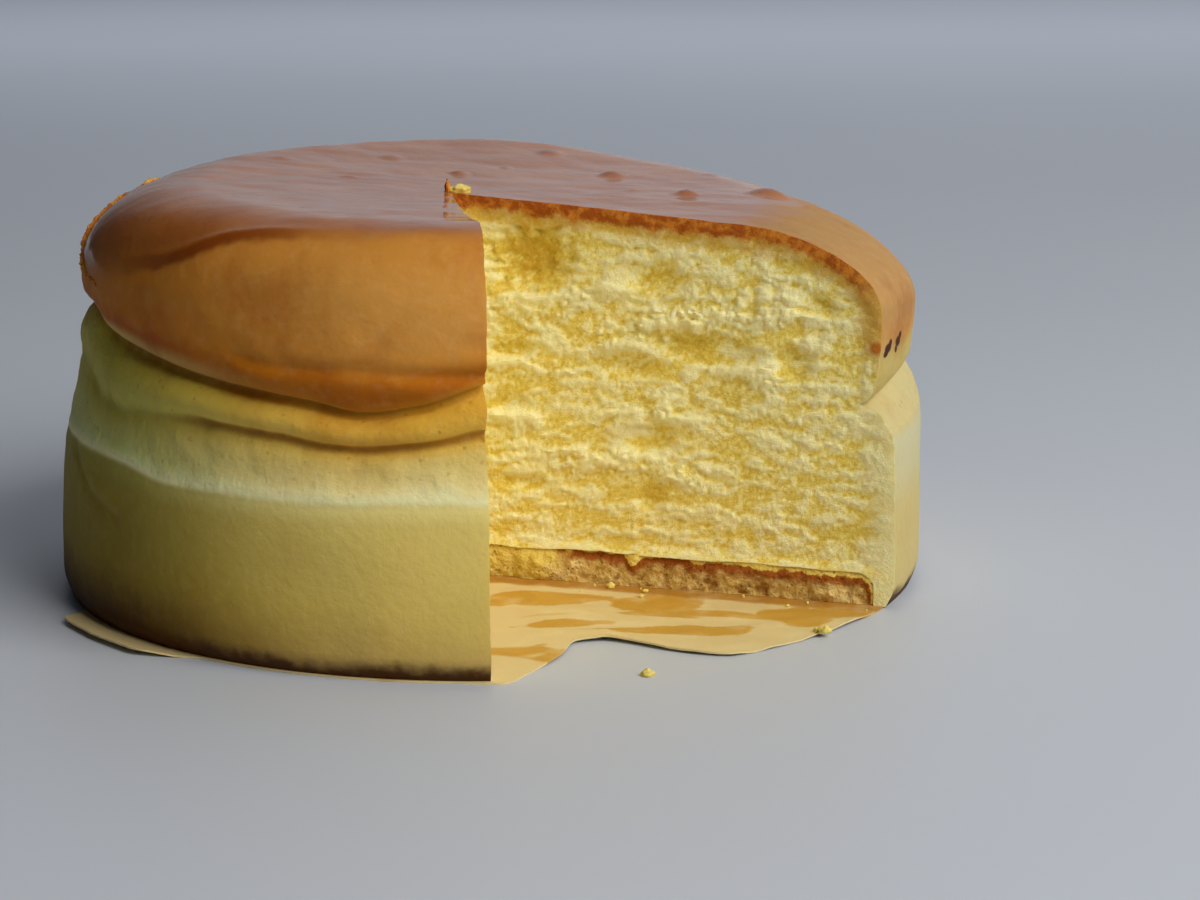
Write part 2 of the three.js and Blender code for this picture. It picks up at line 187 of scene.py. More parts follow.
# the cake: the outside is one outline that changes with the azimuth, in millimetres and degrees
cake = {
    "floor": 0.7,
    "footHeight": 5,
    "ridgeDepth": 5,
    "apex": (-8.4, -4.5),
    "rightCut": -19.8,
    "leftCut": -84.9,
    "cutReach": 120,
    "slicePush": 150,
    "centreHeight": 80.5,
    "topTilt": 3.2,
    "topTiltAzimuth": -20,
    "columns": 384,
    "steps": {"foot": 4, "wall": 22, "shoulder": 5, "band": 9, "roll": 11, "lip": 18, "cap": 34, "top": 40},
    "wallRadius": [[-170, 90.3], [-120, 90], [-90, 89.6], [-24, 88.4], [0, 90], [90, 90], [150, 90.2]],
    "wallTaper": [[-170, 1.2], [-120, 0.6], [-90, 0.6], [-24, 0.4], [0, 0.2], [90, 0.6]],
    "ridgeHeight": [[-165, 35.5], [-146, 35.4], [-134, 33.5], [-117, 33.7], [-92, 34.7], [-24, 36],
                    [0, 37.5], [90, 36], [175, 34.5]],
    "ridgeRadius": [[-165, 88], [-120, 88.4], [-92, 88.2], [-24, 87.2], [0, 89.5], [90, 88.5], [175, 88]],
    "creaseHeight": [[-164, 49.6], [-157, 45.6], [-150, 44], [-133, 45], [-120, 44.2], [-108, 42.6],
                     [-97, 44.3], [-90, 46.6], [-24, 39.7], [0, 42], [45, 42], [90, 45], [130, 44],
                     [175, 48]],
    "creaseRadius": [[-164, 85], [-133, 85.4], [-108, 85.2], [-92, 86], [-24, 84.5], [0, 88.2], [45, 87.5],
                     [90, 86], [175, 85.3]],
    "rollBulge": [[-164, 0.8], [-133, 1.7], [-108, 1.7], [-92, 1.2], [-24, 0], [0, 0.3], [45, 0.6],
                  [90, 1.6], [175, 1]],
    "foldHeight": [[-161, 61.6], [-154, 58], [-143, 55.6], [-129, 52.8], [-114, 50.6], [-107, 49],
                   [-99, 51], [-88, 56], [-24, 41.5], [-12, 45], [0, 46.3], [60, 50], [120, 55], [172, 58.5]],
    "foldRadius": [[-161, 82.4], [-130, 83], [-107, 83], [-92, 84.6], [-24, 80.4], [-12, 84], [0, 85.6],
                   [60, 84], [120, 83], [172, 82.3]],
    "capHeight": [[-170, 68], [-143, 68], [-120, 67], [-90, 66], [-24, 60], [0, 59.3], [60, 63], [120, 67]],
    "capRadius": [[-170, 84.8], [-143, 86], [-120, 87.2], [-90, 87.6], [-24, 84.8], [0, 88.2], [60, 87],
                  [120, 86], [175, 84.4]],
    "crestHeight": [[-150, 84.6], [-120, 84], [-88, 83.6], [-24, 77.3], [0, 78.3], [20, 78.6], [42, 80.3],
                    [58, 81.5], [69, 82.8], [80, 84.3], [90, 85], [110, 85.2], [140, 85.2], [172, 84.6]],
    "crestRadius": [[-150, 64], [-120, 68], [-88, 72], [-24, 50], [0, 53], [42, 57], [90, 62], [175, 60]],
    "shoulderFullness": [[-175, 1.95], [-120, 2.4], [-88, 2.8], [-24, 1.9], [0, 1.8], [90, 2], [160, 1.85]],
}
outlineCurves = {name: around(pairs) for name, pairs in cake.items() if isinstance(pairs, list)}


def outlinePoint(up, azimuth):  # up counts the stretches: 0 at the foot, 8 at the centre of the top
    f = {name: curve(azimuth) for name, curve in outlineCurves.items()}
    slant = -cake["topTilt"] * np.cos(np.radians(azimuth - cake["topTiltAzimuth"]))
    stretch = np.clip(np.ceil(up) - 1, 0, 7).astype(int)
    t = np.clip(up - stretch, 0, 1)
    footHeight = cake["footHeight"]
    shoulderHeight = f["ridgeHeight"] - cake["ridgeDepth"]
    shoulderRadius = f["wallRadius"] - f["wallTaper"]
    power = 2 / f["shoulderFullness"]
    quarter = t * math.pi / 2
    away = np.clip(np.cos(quarter), 0, 1) ** power
    fall = (f["crestHeight"] - cake["centreHeight"] - slant) * (1 - t) ** 2
    radii = [
        f["wallRadius"] - 1.6 * (1 - t) ** 2,
        f["wallRadius"] - f["wallTaper"] * t * t,
        shoulderRadius + (f["ridgeRadius"] - shoulderRadius) * t * t,
        f["ridgeRadius"] + (f["creaseRadius"] - f["ridgeRadius"]) * t,
        f["creaseRadius"] + (f["foldRadius"] - f["creaseRadius"]) * t + f["rollBulge"] * np.sin(math.pi * t),
        f["foldRadius"] + (f["capRadius"] - f["foldRadius"]) * (1 - (1 - t) ** 2.2) ** 0.6,
        f["crestRadius"] + (f["capRadius"] - f["crestRadius"]) * away,
        f["crestRadius"] * (1 - t),
    ]
    heights = [
        cake["floor"] + (footHeight - cake["floor"]) * t,
        footHeight + (shoulderHeight - footHeight) * t,
        shoulderHeight + cake["ridgeDepth"] * t,
        f["ridgeHeight"] + (f["creaseHeight"] - f["ridgeHeight"]) * t,
        f["creaseHeight"] + (f["foldHeight"] - f["creaseHeight"]) * t,
        f["foldHeight"] + (f["capHeight"] - f["foldHeight"]) * t**1.3,
        f["capHeight"] + (f["crestHeight"] - f["capHeight"]) * np.sin(quarter) ** power,
        cake["centreHeight"] + slant * (1 - t) + fall,
    ]
    return np.choose(stretch, radii), np.choose(stretch, heights)


# an outline drawn by extruding one point, then spun round the axis; up is kept on the points
def spinOutline(name, outline, ups, columns):
    bpy.ops.mesh.primitive_plane_add(size=mm)
    body = bpy.context.object
    body.name = body.data.name = name
    editAll(body)
    bpy.ops.mesh.merge(type="CENTER")
    bpy.ops.transform.translate(value=(outline[0][0], 0, outline[0][1]))
    for (r0, z0), (r1, z1) in zip(outline, outline[1:]):
        step = {"value": (r1 - r0, 0, z1 - z0)}
        bpy.ops.mesh.extrude_region_move(TRANSFORM_OT_translate=step)
    endEdit()
    drawn = getPoints(body.data)[:, [0, 2]]
    order = [int(np.argmin(np.hypot(*(np.array(outline) - point).T))) for point in drawn]
    setValues(body.data, "up", np.array(ups, float)[order])
    editAll(body)
    bpy.ops.mesh.spin(steps=columns, angle=math.tau, center=(0, 0, 0), axis=(0, 0, 1))
    bpy.ops.mesh.select_all(action="SELECT")
    bpy.ops.mesh.remove_doubles(threshold=1e-6)
    bpy.ops.mesh.normals_make_consistent(inside=False)
    endEdit()
    return body


# shallow lines pressed into the skin, each [azimuth, height]
skinRelief = {
    "lipCrease": [[-126, 59.4], [-119, 58], [-113, 57.8], [-106, 57.9], [-99, 57.4], [-92, 57.3],
                  [-84, 57.3]],
    "wallCrease": [[-164, 35.4], [-158, 31.5], [-154, 27], [-148, 24.1], [-143, 22.6]],
    "bubbles": [[59, 15, 5.0, 1.5], [41, 10, 2.9, 1.0], [-7, 24, 2.4, 0.7], [26, 30, 3.2, 1.0],
                [13, 52, 3.4, 0.6], [-22, 40, 3, 0.5], [48, 38, 2, 0.4], [3, 33, 1.6, 0.4],
                [30, 12, 1.4, 0.3], [66, 4, 1.6, 0.35], [-30, 12, 2.4, 0.35], [-45, 30, 2.8, 0.4]],
    "dents": [[-118, 70, 9, 5, 0.5], [-140, 74, 7, 4, 0.45], [-100, 74, 6, 5, 0.3], [-146, 20, 6, 8, 0.4],
              [-112, 18, 8, 6, 0.3], [-96, 26, 5, 5, 0.25], [170, 22, 9, 8, 0.5], [60, 20, 12, 8, 0.5],
              [110, 68, 12, 6, 0.6], [30, 62, 10, 5, 0.5]],
}


def alongLine(azimuth, height, line):  # how far a point is above a pressed line, and where it ends
    points = np.array(line, float)
    at = np.interp(azimuth, points[:, 0], points[:, 1])
    start, stop = points[0, 0], points[-1, 0]
    ends = smoothStep(azimuth, start, start + 4) * smoothStep(azimuth, stop, stop - 4)
    return height - at, ends


def reliefOutside(points, up, azimuth):  # how far the skin stands out, in millimetres
    x, y, z = points.T
    side = smoothStep(up, 7.0, 6.2)  # 1 below the crest, 0 on the flat top
    top = 1 - side
    rise, ends = alongLine(azimuth, z, skinRelief["lipCrease"])
    out = -1.0 * ends * bell(rise / 1.1) * (up > 5) + 0.5 * ends * bell((rise + 2.8) / 2.4) * (up > 5)
    fold = 0.55 + 0.45 * softNoise(azimuth / 17, 0.5, 0.5, 16)
    front = smoothStep(azimuth, -28, -60)
    crease = bell((up - 4) / 0.16) * (0.1 + 0.9 * skinCurve("creaseLine", azimuth))
    out += -0.9 * crease * (0.7 + 0.5 * fold) + 0.9 * bell((up - 4.5) / 0.27) * front * fold
    out += -0.9 * bell((up - 5) / 0.1) * (0.25 + 0.75 * front)
    rise, ends = alongLine(azimuth, z, skinRelief["wallCrease"])
    out += -0.55 * ends * bell(rise / 1.2) + 0.3 * ends * bell((rise - 2.6) / 2)
    ridge = bell((up - 3.02) / 0.12) * (1 - 0.8 * skinCurve("paleLip", azimuth))
    out += ridge * (0.28 + 0.3 * softNoise(azimuth / 3.1, z / 40, 0, 11))
    band = smoothStep(up, 3.0, 3.25) * smoothStep(up, 5.0, 4.0)
    out += band * (0.3 * softNoise(x / 3.4, y / 3.4, z / 2.4, 5) + 0.35 * softNoise(x / 9, y / 9, z / 5, 6))
    wall = smoothStep(up, 3.0, 2.8)
    out += wall * (0.22 * softNoise(x / 16, y / 16, z / 12, 7) + 0.03 * softNoise(x / 5, y / 5, z / 4, 8))
    foot = smoothStep(z, 3.4, 1.2)
    out += foot * 0.45 * softNoise(x / 2.6, y / 2.6, z / 2, 9)
    lip = smoothStep(up, 5.0, 5.3) * smoothStep(up, 6.3, 5.8)
    out += lip * 0.3 * softNoise(azimuth / 4.2, z / 4, 0.5, 10)
    cap = smoothStep(up, 5.6, 6.2)
    grain = softNoise(x / 3.6, y / 3.6, z / 3.6, 13)
    out += cap * side * (0.4 * softNoise(x / 21, y / 21, z / 15, 12) + 0.1 * grain)
    ripple = softNoise(x / 13, y / 6.5, 0.3, 14) + 0.5 * softNoise(x / 6, y / 3.4, 0.7, 15)
    out += top * (0.3 * ripple + 0.03 * softNoise(x / 2.8, y / 2.2, 0.9, 17))
    for bx, by, radius, height in skinRelief["bubbles"]:
        distance = np.hypot(x - bx, y - by) / radius
        blister = np.clip(1 - distance**2, 0, 1) ** 1.4 - 0.1 * bell((distance - 1.2) / 0.25)
        out += (up > 6.5) * height * blister
    level = up - skinCurve("glazeFrom", azimuth)
    out += 0.7 * skinCurve("waveShare", azimuth) * bell((level - 0.07) / 0.07)
    for a, h, wide, high, depth in skinRelief["dents"]:
        turn = (azimuth - a + 180) % 360 - 180
        out -= depth * bell(np.hypot(turn / wide, (z - h) / high))
    return out


def makeBlank():
    ups = [-1.0, 0.0]
    for number, count in enumerate(cake["steps"].values()):
        ups += [number + k / count for k in range(1, count + 1)]
    radii, heights = outlinePoint(np.array(ups[1:]), np.zeros(len(ups) - 1))
    outline = [(0, cake["floor"] * mm)] + [(r * mm, z * mm) for r, z in zip(radii, heights)]
    outline[-1] = (0, outline[-1][1])
    blank = spinOutline("cakeBody", outline, ups, cake["columns"])
    mesh = blank.data
    points = getPoints(mesh) / mm
    up = getValues(mesh, "up")
    onAxis = np.hypot(points[:, 0], points[:, 1]) < 0.01
    azimuth = azimuthOf(points)
    radius, height = outlinePoint(np.maximum(up, 0), azimuth)
    moved = polar(radius, azimuth, height)
    moved[onAxis] = np.c_[0 * up, 0 * up, np.where(up < 0, cake["floor"], cake["centreHeight"])][onAxis]
    beyond = np.hypot(moved[:, 0], moved[:, 1]) - around(paper["radius"])(azimuth)
    rest = paper["top"] - paper["thickness"] * smoothStep(beyond, 0.2, 1.2)
    foot = (up == 0)
    moved[foot, 2] = rest[foot]
    setPoints(mesh, moved * mm)
    normals = getPoints(mesh, "normal")
    out = np.where(up > 0, reliefOutside(moved, up, azimuth), 0)
    moved += normals * out[:, None]
    setPoints(mesh, moved * mm)
    print("cake blank:", len(mesh.vertices), "points")
    return blank


# the torn crumb: [distance from the apex, height, half the length, half the height, depth]
crumb = {
    "base": 0.5,
    "tears": [
        [16, 68, 8, 6.5, 4.6], [17, 59, 9, 4, -1.6], [33, 62.4, 8, 1.8, -1], [43, 65, 6, 3, 1.8],
        [47, 55.4, 7, 2.8, -1.5], [56, 57.4, 6, 2.8, -1.3], [68, 60, 8, 3, -1.2], [38, 50.6, 8, 3.2, -1.3],
        [38, 47, 6.5, 2.4, 1.9], [49, 51.6, 5.5, 2.6, 1.8], [15, 45.6, 8, 2, -1.2], [12.5, 48.6, 5, 1.6, 2],
        [77, 61, 4, 2, 1.9], [69, 53, 7, 2, -1], [73, 49, 3.6, 3.2, 1.9], [57, 50.4, 7, 3.4, 1.6],
        [64, 46.4, 8, 2, -1.2], [12, 37.4, 4.4, 1.8, 1.8], [14, 34.4, 7, 2, -1.1], [45, 39, 3.6, 2, -1.1],
        [42, 35.8, 9, 2, -1.1], [43, 32, 4.4, 3.4, 2], [34, 26.6, 12, 2.4, -1.3], [14.4, 20.8, 6.4, 1.4, 1.8],
        [49.6, 24.4, 5, 1.8, -1.1], [42.4, 19.2, 2.8, 3.2, 1.8],
    ],
    "spacing": {1: 0.43, 0: 0.95},  # between points, on the right cut and on the left one
    "height": 86,
    "reach": 96,
}


def cutAzimuth(side):
    return cake["rightCut"] if side else cake["leftCut"]


def direction(azimuth):
    return np.array([math.cos(math.radians(azimuth)), math.sin(math.radians(azimuth))])


def terraces(value, spread):  # flat lumps with steep ragged sides, in three steps
    steps = smoothStep(value, -0.34, -0.34 + spread) + smoothStep(value, 0, spread)
    return steps + 0.8 * smoothStep(value, 0.36, 0.36 + spread)


def tornCrumb(side, along, height):  # depth behind the knife's plane, in millimetres
    warpS = along + 2.2 * softNoise(along / 6, height / 4.5, 0.5, 21 + side)
    warpZ = height + 1.4 * softNoise(along / 6, height / 4.5, 4.5, 23 + side)
    knobs = cellDistance(warpS / 1.9, warpZ / 1.3, 0.3 + side, 28)
    grains = cellDistance(along / 0.85, height / 0.8, 5.3 + side, 29)
    ragged = 1.0 * (0.55 - knobs) + 0.8 * (0.5 - grains)
    layers = softNoise(warpS / 8.0, warpZ / 2.7, 7.3 * side + 0.5, 25) + 0.75 * softNoise(
        warpS / 3.4, warpZ / 1.7, 3.1 * side + 11.5, 26)
    broad = softNoise(along / 16, height / 8, 2.2 * side, 27)
    tears = np.zeros(along.shape)
    if side == 1:
        for s, z, halfLength, halfHeight, depth in crumb["tears"]:
            edge = 0.4 * softNoise(along / 3, height / 1.7, s, 30) + 0.35 * ragged
            reach = np.hypot((along - s) / halfLength, (height - z) / halfHeight) - edge
            tears += 0.62 * depth * bell(np.maximum(reach, 0) ** 1.6)
    tears *= 1 + 0.35 * layers
    raised = terraces(layers + ragged + 0.35 * broad - 0.26 * tears, 0.14)
    eased = terraces(layers + 0.6 * ragged + 0.35 * broad - 0.26 * tears, 0.7)
    coarse = crumb["base"] + 0.75 - 0.21 * eased + 0.3 * broad
    fine = 0.13 * (knobs - 0.55) + 0.2 * (grains - 0.5)
    return coarse, fine, tears, raised


def crumbFade(side, along, height):
    heading = direction(cutAzimuth(side))
    radius = np.hypot(cake["apex"][0] + along * heading[0], cake["apex"][1] + along * heading[1])
    top = np.interp(along, [0, 28, 56, 66, 79, 85, 90], [81, 79, 77, 76, 72, 68, 62])
    top = top if side else np.interp(along, [0, 26, 65, 77, 90], [80.5, 80.5, 83, 83.5, 78])
    below = smoothStep(top - height, 0.6, 5.5)
    inward = smoothStep(89 - radius, 0.4, 9)
    start = smoothStep(along, 0.4, 7)
    foot = smoothStep(height, spongeLayer["top"] - 1, spongeLayer["top"] + 2.5)
    return below, inward, start, foot


def makeCutter(side, spacing, lowest, highest, depthAt):
    columns = round(crumb["reach"] / spacing)
    rows = round((highest - lowest) / spacing)
    bpy.ops.mesh.primitive_grid_add(x_subdivisions=columns, y_subdivisions=rows, size=2)
    cutter = bpy.context.object
    cutter.name = "cutter"
    mesh = cutter.data
    points = getPoints(mesh)
    share = 1 - 2 / columns
    along = np.interp((points[:, 0] + 1) / 2, [0, share, 1], [0, crumb["reach"], cake["cutReach"]])
    height = lowest + (highest - lowest) * (points[:, 1] + 1) / 2
    azimuth = cutAzimuth(side)
    outward = direction(azimuth + 90 if side else azimuth - 90)
    depth, shiftAlong, shiftUp, values = depthAt(side, along, height)
    flat = np.array(cake["apex"]) + np.outer(along + shiftAlong, direction(azimuth))
    flat = flat + np.outer(depth, outward)
    setPoints(mesh, np.c_[flat, height + shiftUp] * mm)
    for name, value in values.items():
        setValues(mesh, name, value)
    middle = (cake["rightCut"] + cake["leftCut"]) / 2 + (-4 if side else 4)
    push = np.append(direction(middle), 0) * cake["slicePush"] * mm
    editAll(cutter)
    bpy.ops.mesh.extrude_region_move(TRANSFORM_OT_translate={"value": tuple(push)})
    bpy.ops.mesh.select_all(action="SELECT")
    bpy.ops.mesh.normals_make_consistent(inside=False)
    endEdit()
    return cutter


def crumbSurface(side, along, height):
    coarse, fine, tears, raised = tornCrumb(side, along, height)
    below, inward, start, foot = crumbFade(side, along, height)
    inside = (0.12 + 0.88 * below) * (0.15 + 0.85 * inward) * start * foot
    edge = (0.6 + 0.4 * below) * (0.6 + 0.4 * inward) * start * (0.6 + 0.4 * foot)
    depth = (coarse + tears) * inside + fine * edge
    standing = np.clip(0.6 - depth, 0, 3) * inside
    shiftUp = 0.45 * standing + 0.2 * edge * softNoise(along / 1.1, height / 1.1, 3.5, 31)
    shiftAlong = 0.3 * edge * softNoise(along / 1.3, height / 1.3, 8.5, 32)
    # recess picks the crumb's colour: pale on raised lumps and deeper yellow in the hollows, painted light
    # and shade over the relief
    recess = 1.12 - 0.84 * raised + 0.35 * tears * inside + 2.0 * fine
    fromApex = smoothStep(along, 0, 0.5)
    return depth, shiftAlong * fromApex, shiftUp * fromApex, {"recess": recess, "torn": 1}


def applyModifier(piece, kind, settings):
    modifier = piece.modifiers.new(kind, kind)
    for name, value in settings.items():
        setattr(modifier, name, value)
    onlySelect(piece)
    bpy.ops.object.modifier_apply(modifier=modifier.name)


def applyBoolean(piece, other, operation):
    applyModifier(piece, "BOOLEAN", {"operation": operation, "solver": "MANIFOLD",
                                     "material_mode": "TRANSFER", "object": other})
    bpy.data.objects.remove(other)


def cutSlice(piece, surface, values, lowest, highest, finish):  # takes the slice out, one torn wall at a time
    for side, spacing in values["spacing"].items():
        cutter = makeCutter(side, spacing, lowest, highest, surface)
        cutter.data.materials.append(finish)
        applyBoolean(piece, cutter, "DIFFERENCE")
        print(piece.name, "cut on side", side, "-", len(piece.data.vertices), "points")


def smooth(piece, sharpest):
    onlySelect(piece)
    bpy.ops.object.shade_smooth_by_angle(angle=math.radians(sharpest))


# the sponge layer under the cake
spongeLayer = {"radius": 84.3, "top": 7.2, "edgeRound": 3.4, "spacing": {1: 0.4, 0: 0.9}}


def spongeOutline(radius, bottom, top, rings):
    corner = spongeLayer["edgeRound"]
    outline = [(radius * k / rings, bottom) for k in range(rings + 1)]
    levels, roundSteps = max(2, rings // 10), 6
    outline += [(radius, bottom + (top - corner - bottom) * k / levels) for k in range(1, levels + 1)]
    for k in range(1, roundSteps + 1):
        angle = k / roundSteps * math.pi / 2
        outline.append((radius - corner + corner * math.cos(angle), top - corner + corner * math.sin(angle)))
    outline += [((radius - corner) * (1 - k / rings), top) for k in range(1, rings + 1)]
    return [(r * mm, z * mm) for r, z in outline]


def spongeWave(points):  # how uneven the upper face is, in millimetres
    x, y = points[:, 0], points[:, 1]
    return 0.4 * softNoise(x / 9, y / 9, 0.5, 51) + 0.25 * softNoise(x / 3.6, y / 3.6, 0.5, 52)


def makeDisc(name, radius, bottom, top, rings, columns):
    outline = spongeOutline(radius, bottom, top, rings)
    disc = spinOutline(name, outline, [0.0] * len(outline), columns)
    points = getPoints(disc.data) / mm
    points[:, 2] += spongeWave(points) * smoothStep(points[:, 2], 2, top)
    setPoints(disc.data, points * mm)
    return disc


def markDepth(piece, blankTree, blankUps):  # how deep each torn point lies under the uncut skin
    points = getPoints(piece.data)
    depth = getValues(piece.data, "skinDepth")
    up = getValues(piece.data, "up")
    torn = getValues(piece.data, "torn")
    lost = (up == 0) & (points[:, 2] > 2 * mm)
    for k in np.nonzero((torn > 0.01) | lost)[0]:
        *_, face, distance = blankTree.find_nearest(Vector(points[k]))
        depth[k] = distance / mm
        up[k] = blankUps[face]
    setValues(piece.data, "skinDepth", depth)
    setValues(piece.data, "up", up)


def keepLargest(piece):  # drops the air pockets and slivers that a join leaves
    mesh = piece.data
    for kind in (mesh.polygons, mesh.edges, mesh.vertices):
        kind.foreach_set("select", np.zeros(len(kind), bool))
    mesh.vertices[int(np.argmax(getPoints(mesh)[:, 1]))].select = True
    onlySelect(piece)
    bpy.ops.object.mode_set(mode="EDIT")
    bpy.ops.mesh.select_mode(type="VERT")
    bpy.ops.mesh.select_linked()
    bpy.ops.mesh.select_all(action="INVERT")
    bpy.ops.mesh.delete(type="VERT")
    endEdit()


def sharpSeams(piece):  # crisp edges stay on the crumb and where two finishes meet
    mesh = piece.data
    loops = readAll(mesh.loops, "edge_index")
    owner = np.repeat(readAll(mesh.polygons, "material_index"), readAll(mesh.polygons, "loop_total"))
    low = np.full(len(mesh.edges), 99)
    high = np.full(len(mesh.edges), -1)
    np.minimum.at(low, loops, owner)
    np.maximum.at(high, loops, owner)
    crisp = readAll(mesh.edges, "use_edge_sharp", bool)
    mesh.edges.foreach_set("use_edge_sharp", (crisp & (low > 0)) | (low != high))
    mesh.update()


def setInputs(made, inputs):  # links what comes from another node and sets what is a plain value
    for name, value in inputs.items():
        if isinstance(value, bpy.types.NodeSocket):
            made.id_data.links.new(value, made.inputs[name])
        else:
            made.inputs[name].default_value = value


def node(tree, kind, inputs=None, **settings):  # a shader node with its settings and its inputs
    made = tree.nodes.new(kind)
    for name, value in settings.items():
        setattr(made, name, value)
    setInputs(made, inputs or {})
    return made


def nodeAfter(kind, inputs, **settings):  # a node in the same tree as what it takes in
    taken = [value for value in inputs.values() if isinstance(value, bpy.types.NodeSocket)]
    return node(taken[0].id_data, kind, inputs, **settings)


def srgb(red, green, blue):  # a colour as seen on a screen, 0 to 255, in Blender's linear values
    channels = [c / 255 for c in (red, green, blue)]
    return [c / 12.92 if c <= 0.04045 else ((c + 0.055) / 1.055) ** 2.4 for c in channels] + [1]


def newFinish(name):
    material = bpy.data.materials.new(name)
    material.use_nodes = True
    tree = material.node_tree
    return material, tree, tree.nodes["Principled BSDF"]


def readValue(tree, name):
    return node(tree, "ShaderNodeAttribute", attribute_name=name).outputs["Fac"]


def objectPlace(tree, scale=(1, 1, 1), location=(0, 0, 0)):
    place = node(tree, "ShaderNodeTexCoord").outputs["Object"]
    return node(tree, "ShaderNodeMapping", {"Vector": place, "Scale": scale, "Location": location}).outputs[0]


def maths(operation, a, b=0.0):
    return nodeAfter("ShaderNodeMath", {0: a, 1: b}, operation=operation).outputs[0]


def vectorMaths(operation, a, b=(0, 0, 0), result="Value"):
    return nodeAfter("ShaderNodeVectorMath", {0: a, 1: b}, operation=operation).outputs[result]


def times(*factors):
    product = factors[0]
    for factor in factors[1:]:
        product = maths("MULTIPLY", product, factor)
    return product


def plus(a, b):
    return maths("ADD", a, b)


def minus(a, b):
    return maths("SUBTRACT", a, b)


def wobble(noise, amount):  # noise that swings about zero
    return times(minus(noise, 0.5), amount)


def mixColour(share, a, b, blend="MIX"):
    made = nodeAfter("ShaderNodeMix", {0: share, 6: a, 7: b}, data_type="RGBA", blend_type=blend)
    return made.outputs[2]


def tinted(share, colour, tint):  # multiplies a colour by a tint, wholly or in part
    return mixColour(share, colour, mixColour(1.0, colour, tint, "MULTIPLY"))


def between(value, low, high, toLow=0.0, toHigh=1.0):  # a smooth step from low to high
    limits = {"Value": value, "From Min": low, "From Max": high, "To Min": toLow, "To Max": toHigh}
    return nodeAfter("ShaderNodeMapRange", limits, interpolation_type="SMOOTHSTEP").outputs[0]


def ramp(value, stops):  # stops are [place, colour]
    made = nodeAfter("ShaderNodeValToRGB", {"Fac": value})
    band = made.color_ramp
    while len(band.elements) < len(stops):
        band.elements.new(0.5)
    for element, (place, colour) in zip(band.elements, stops):
        element.position = place
    for element, (place, colour) in zip(band.elements, stops):
        element.color = colour
    return made.outputs["Color"]


def noiseAt(place, scale, detail=3.0, roughness=0.55, distortion=0.0):
    look = {"Scale": scale, "Detail": detail, "Roughness": roughness, "Distortion": distortion}
    return nodeAfter("ShaderNodeTexNoise", {"Vector": place, **look}).outputs["Fac"]


def bumped(height, distance):
    return nodeAfter("ShaderNodeBump", {"Height": height, "Distance": distance}).outputs["Normal"]


# one group for pores and grain, used by the skin and by the sponge layer
def makePores():
    group = bpy.data.node_groups.new("pores", "ShaderNodeTree")
    kinds = {"Vector": "NodeSocketVector", "Size": "NodeSocketFloat", "Depth": "NodeSocketFloat"}
    for name, kind in kinds.items():
        group.interface.new_socket(name, in_out="INPUT", socket_type=kind)
    for name in ("Height", "Pits"):
        group.interface.new_socket(name, in_out="OUTPUT", socket_type="NodeSocketFloat")
    start = group.nodes.new("NodeGroupInput")
    end = group.nodes.new("NodeGroupOutput")
    place, size = start.outputs["Vector"], maths("DIVIDE", 1.0, start.outputs["Size"])
    cells = nodeAfter("ShaderNodeTexVoronoi", {"Vector": place, "Scale": size, "Randomness": 1.0})
    pits = between(cells.outputs["Distance"], 0.32, 0.08)
    pits = times(pits, between(noiseAt(place, 260, 1), 0.5, 0.62))
    height = minus(noiseAt(place, size, 4), times(pits, start.outputs["Depth"]))
    setInputs(end, {"Height": height, "Pits": pits})
    return group


poresGroup = makePores()


def pores(place, size, depth):
    made = nodeAfter("ShaderNodeGroup", {"Vector": place, "Size": size, "Depth": depth}, node_tree=poresGroup)
    return made.outputs["Height"], made.outputs["Pits"]


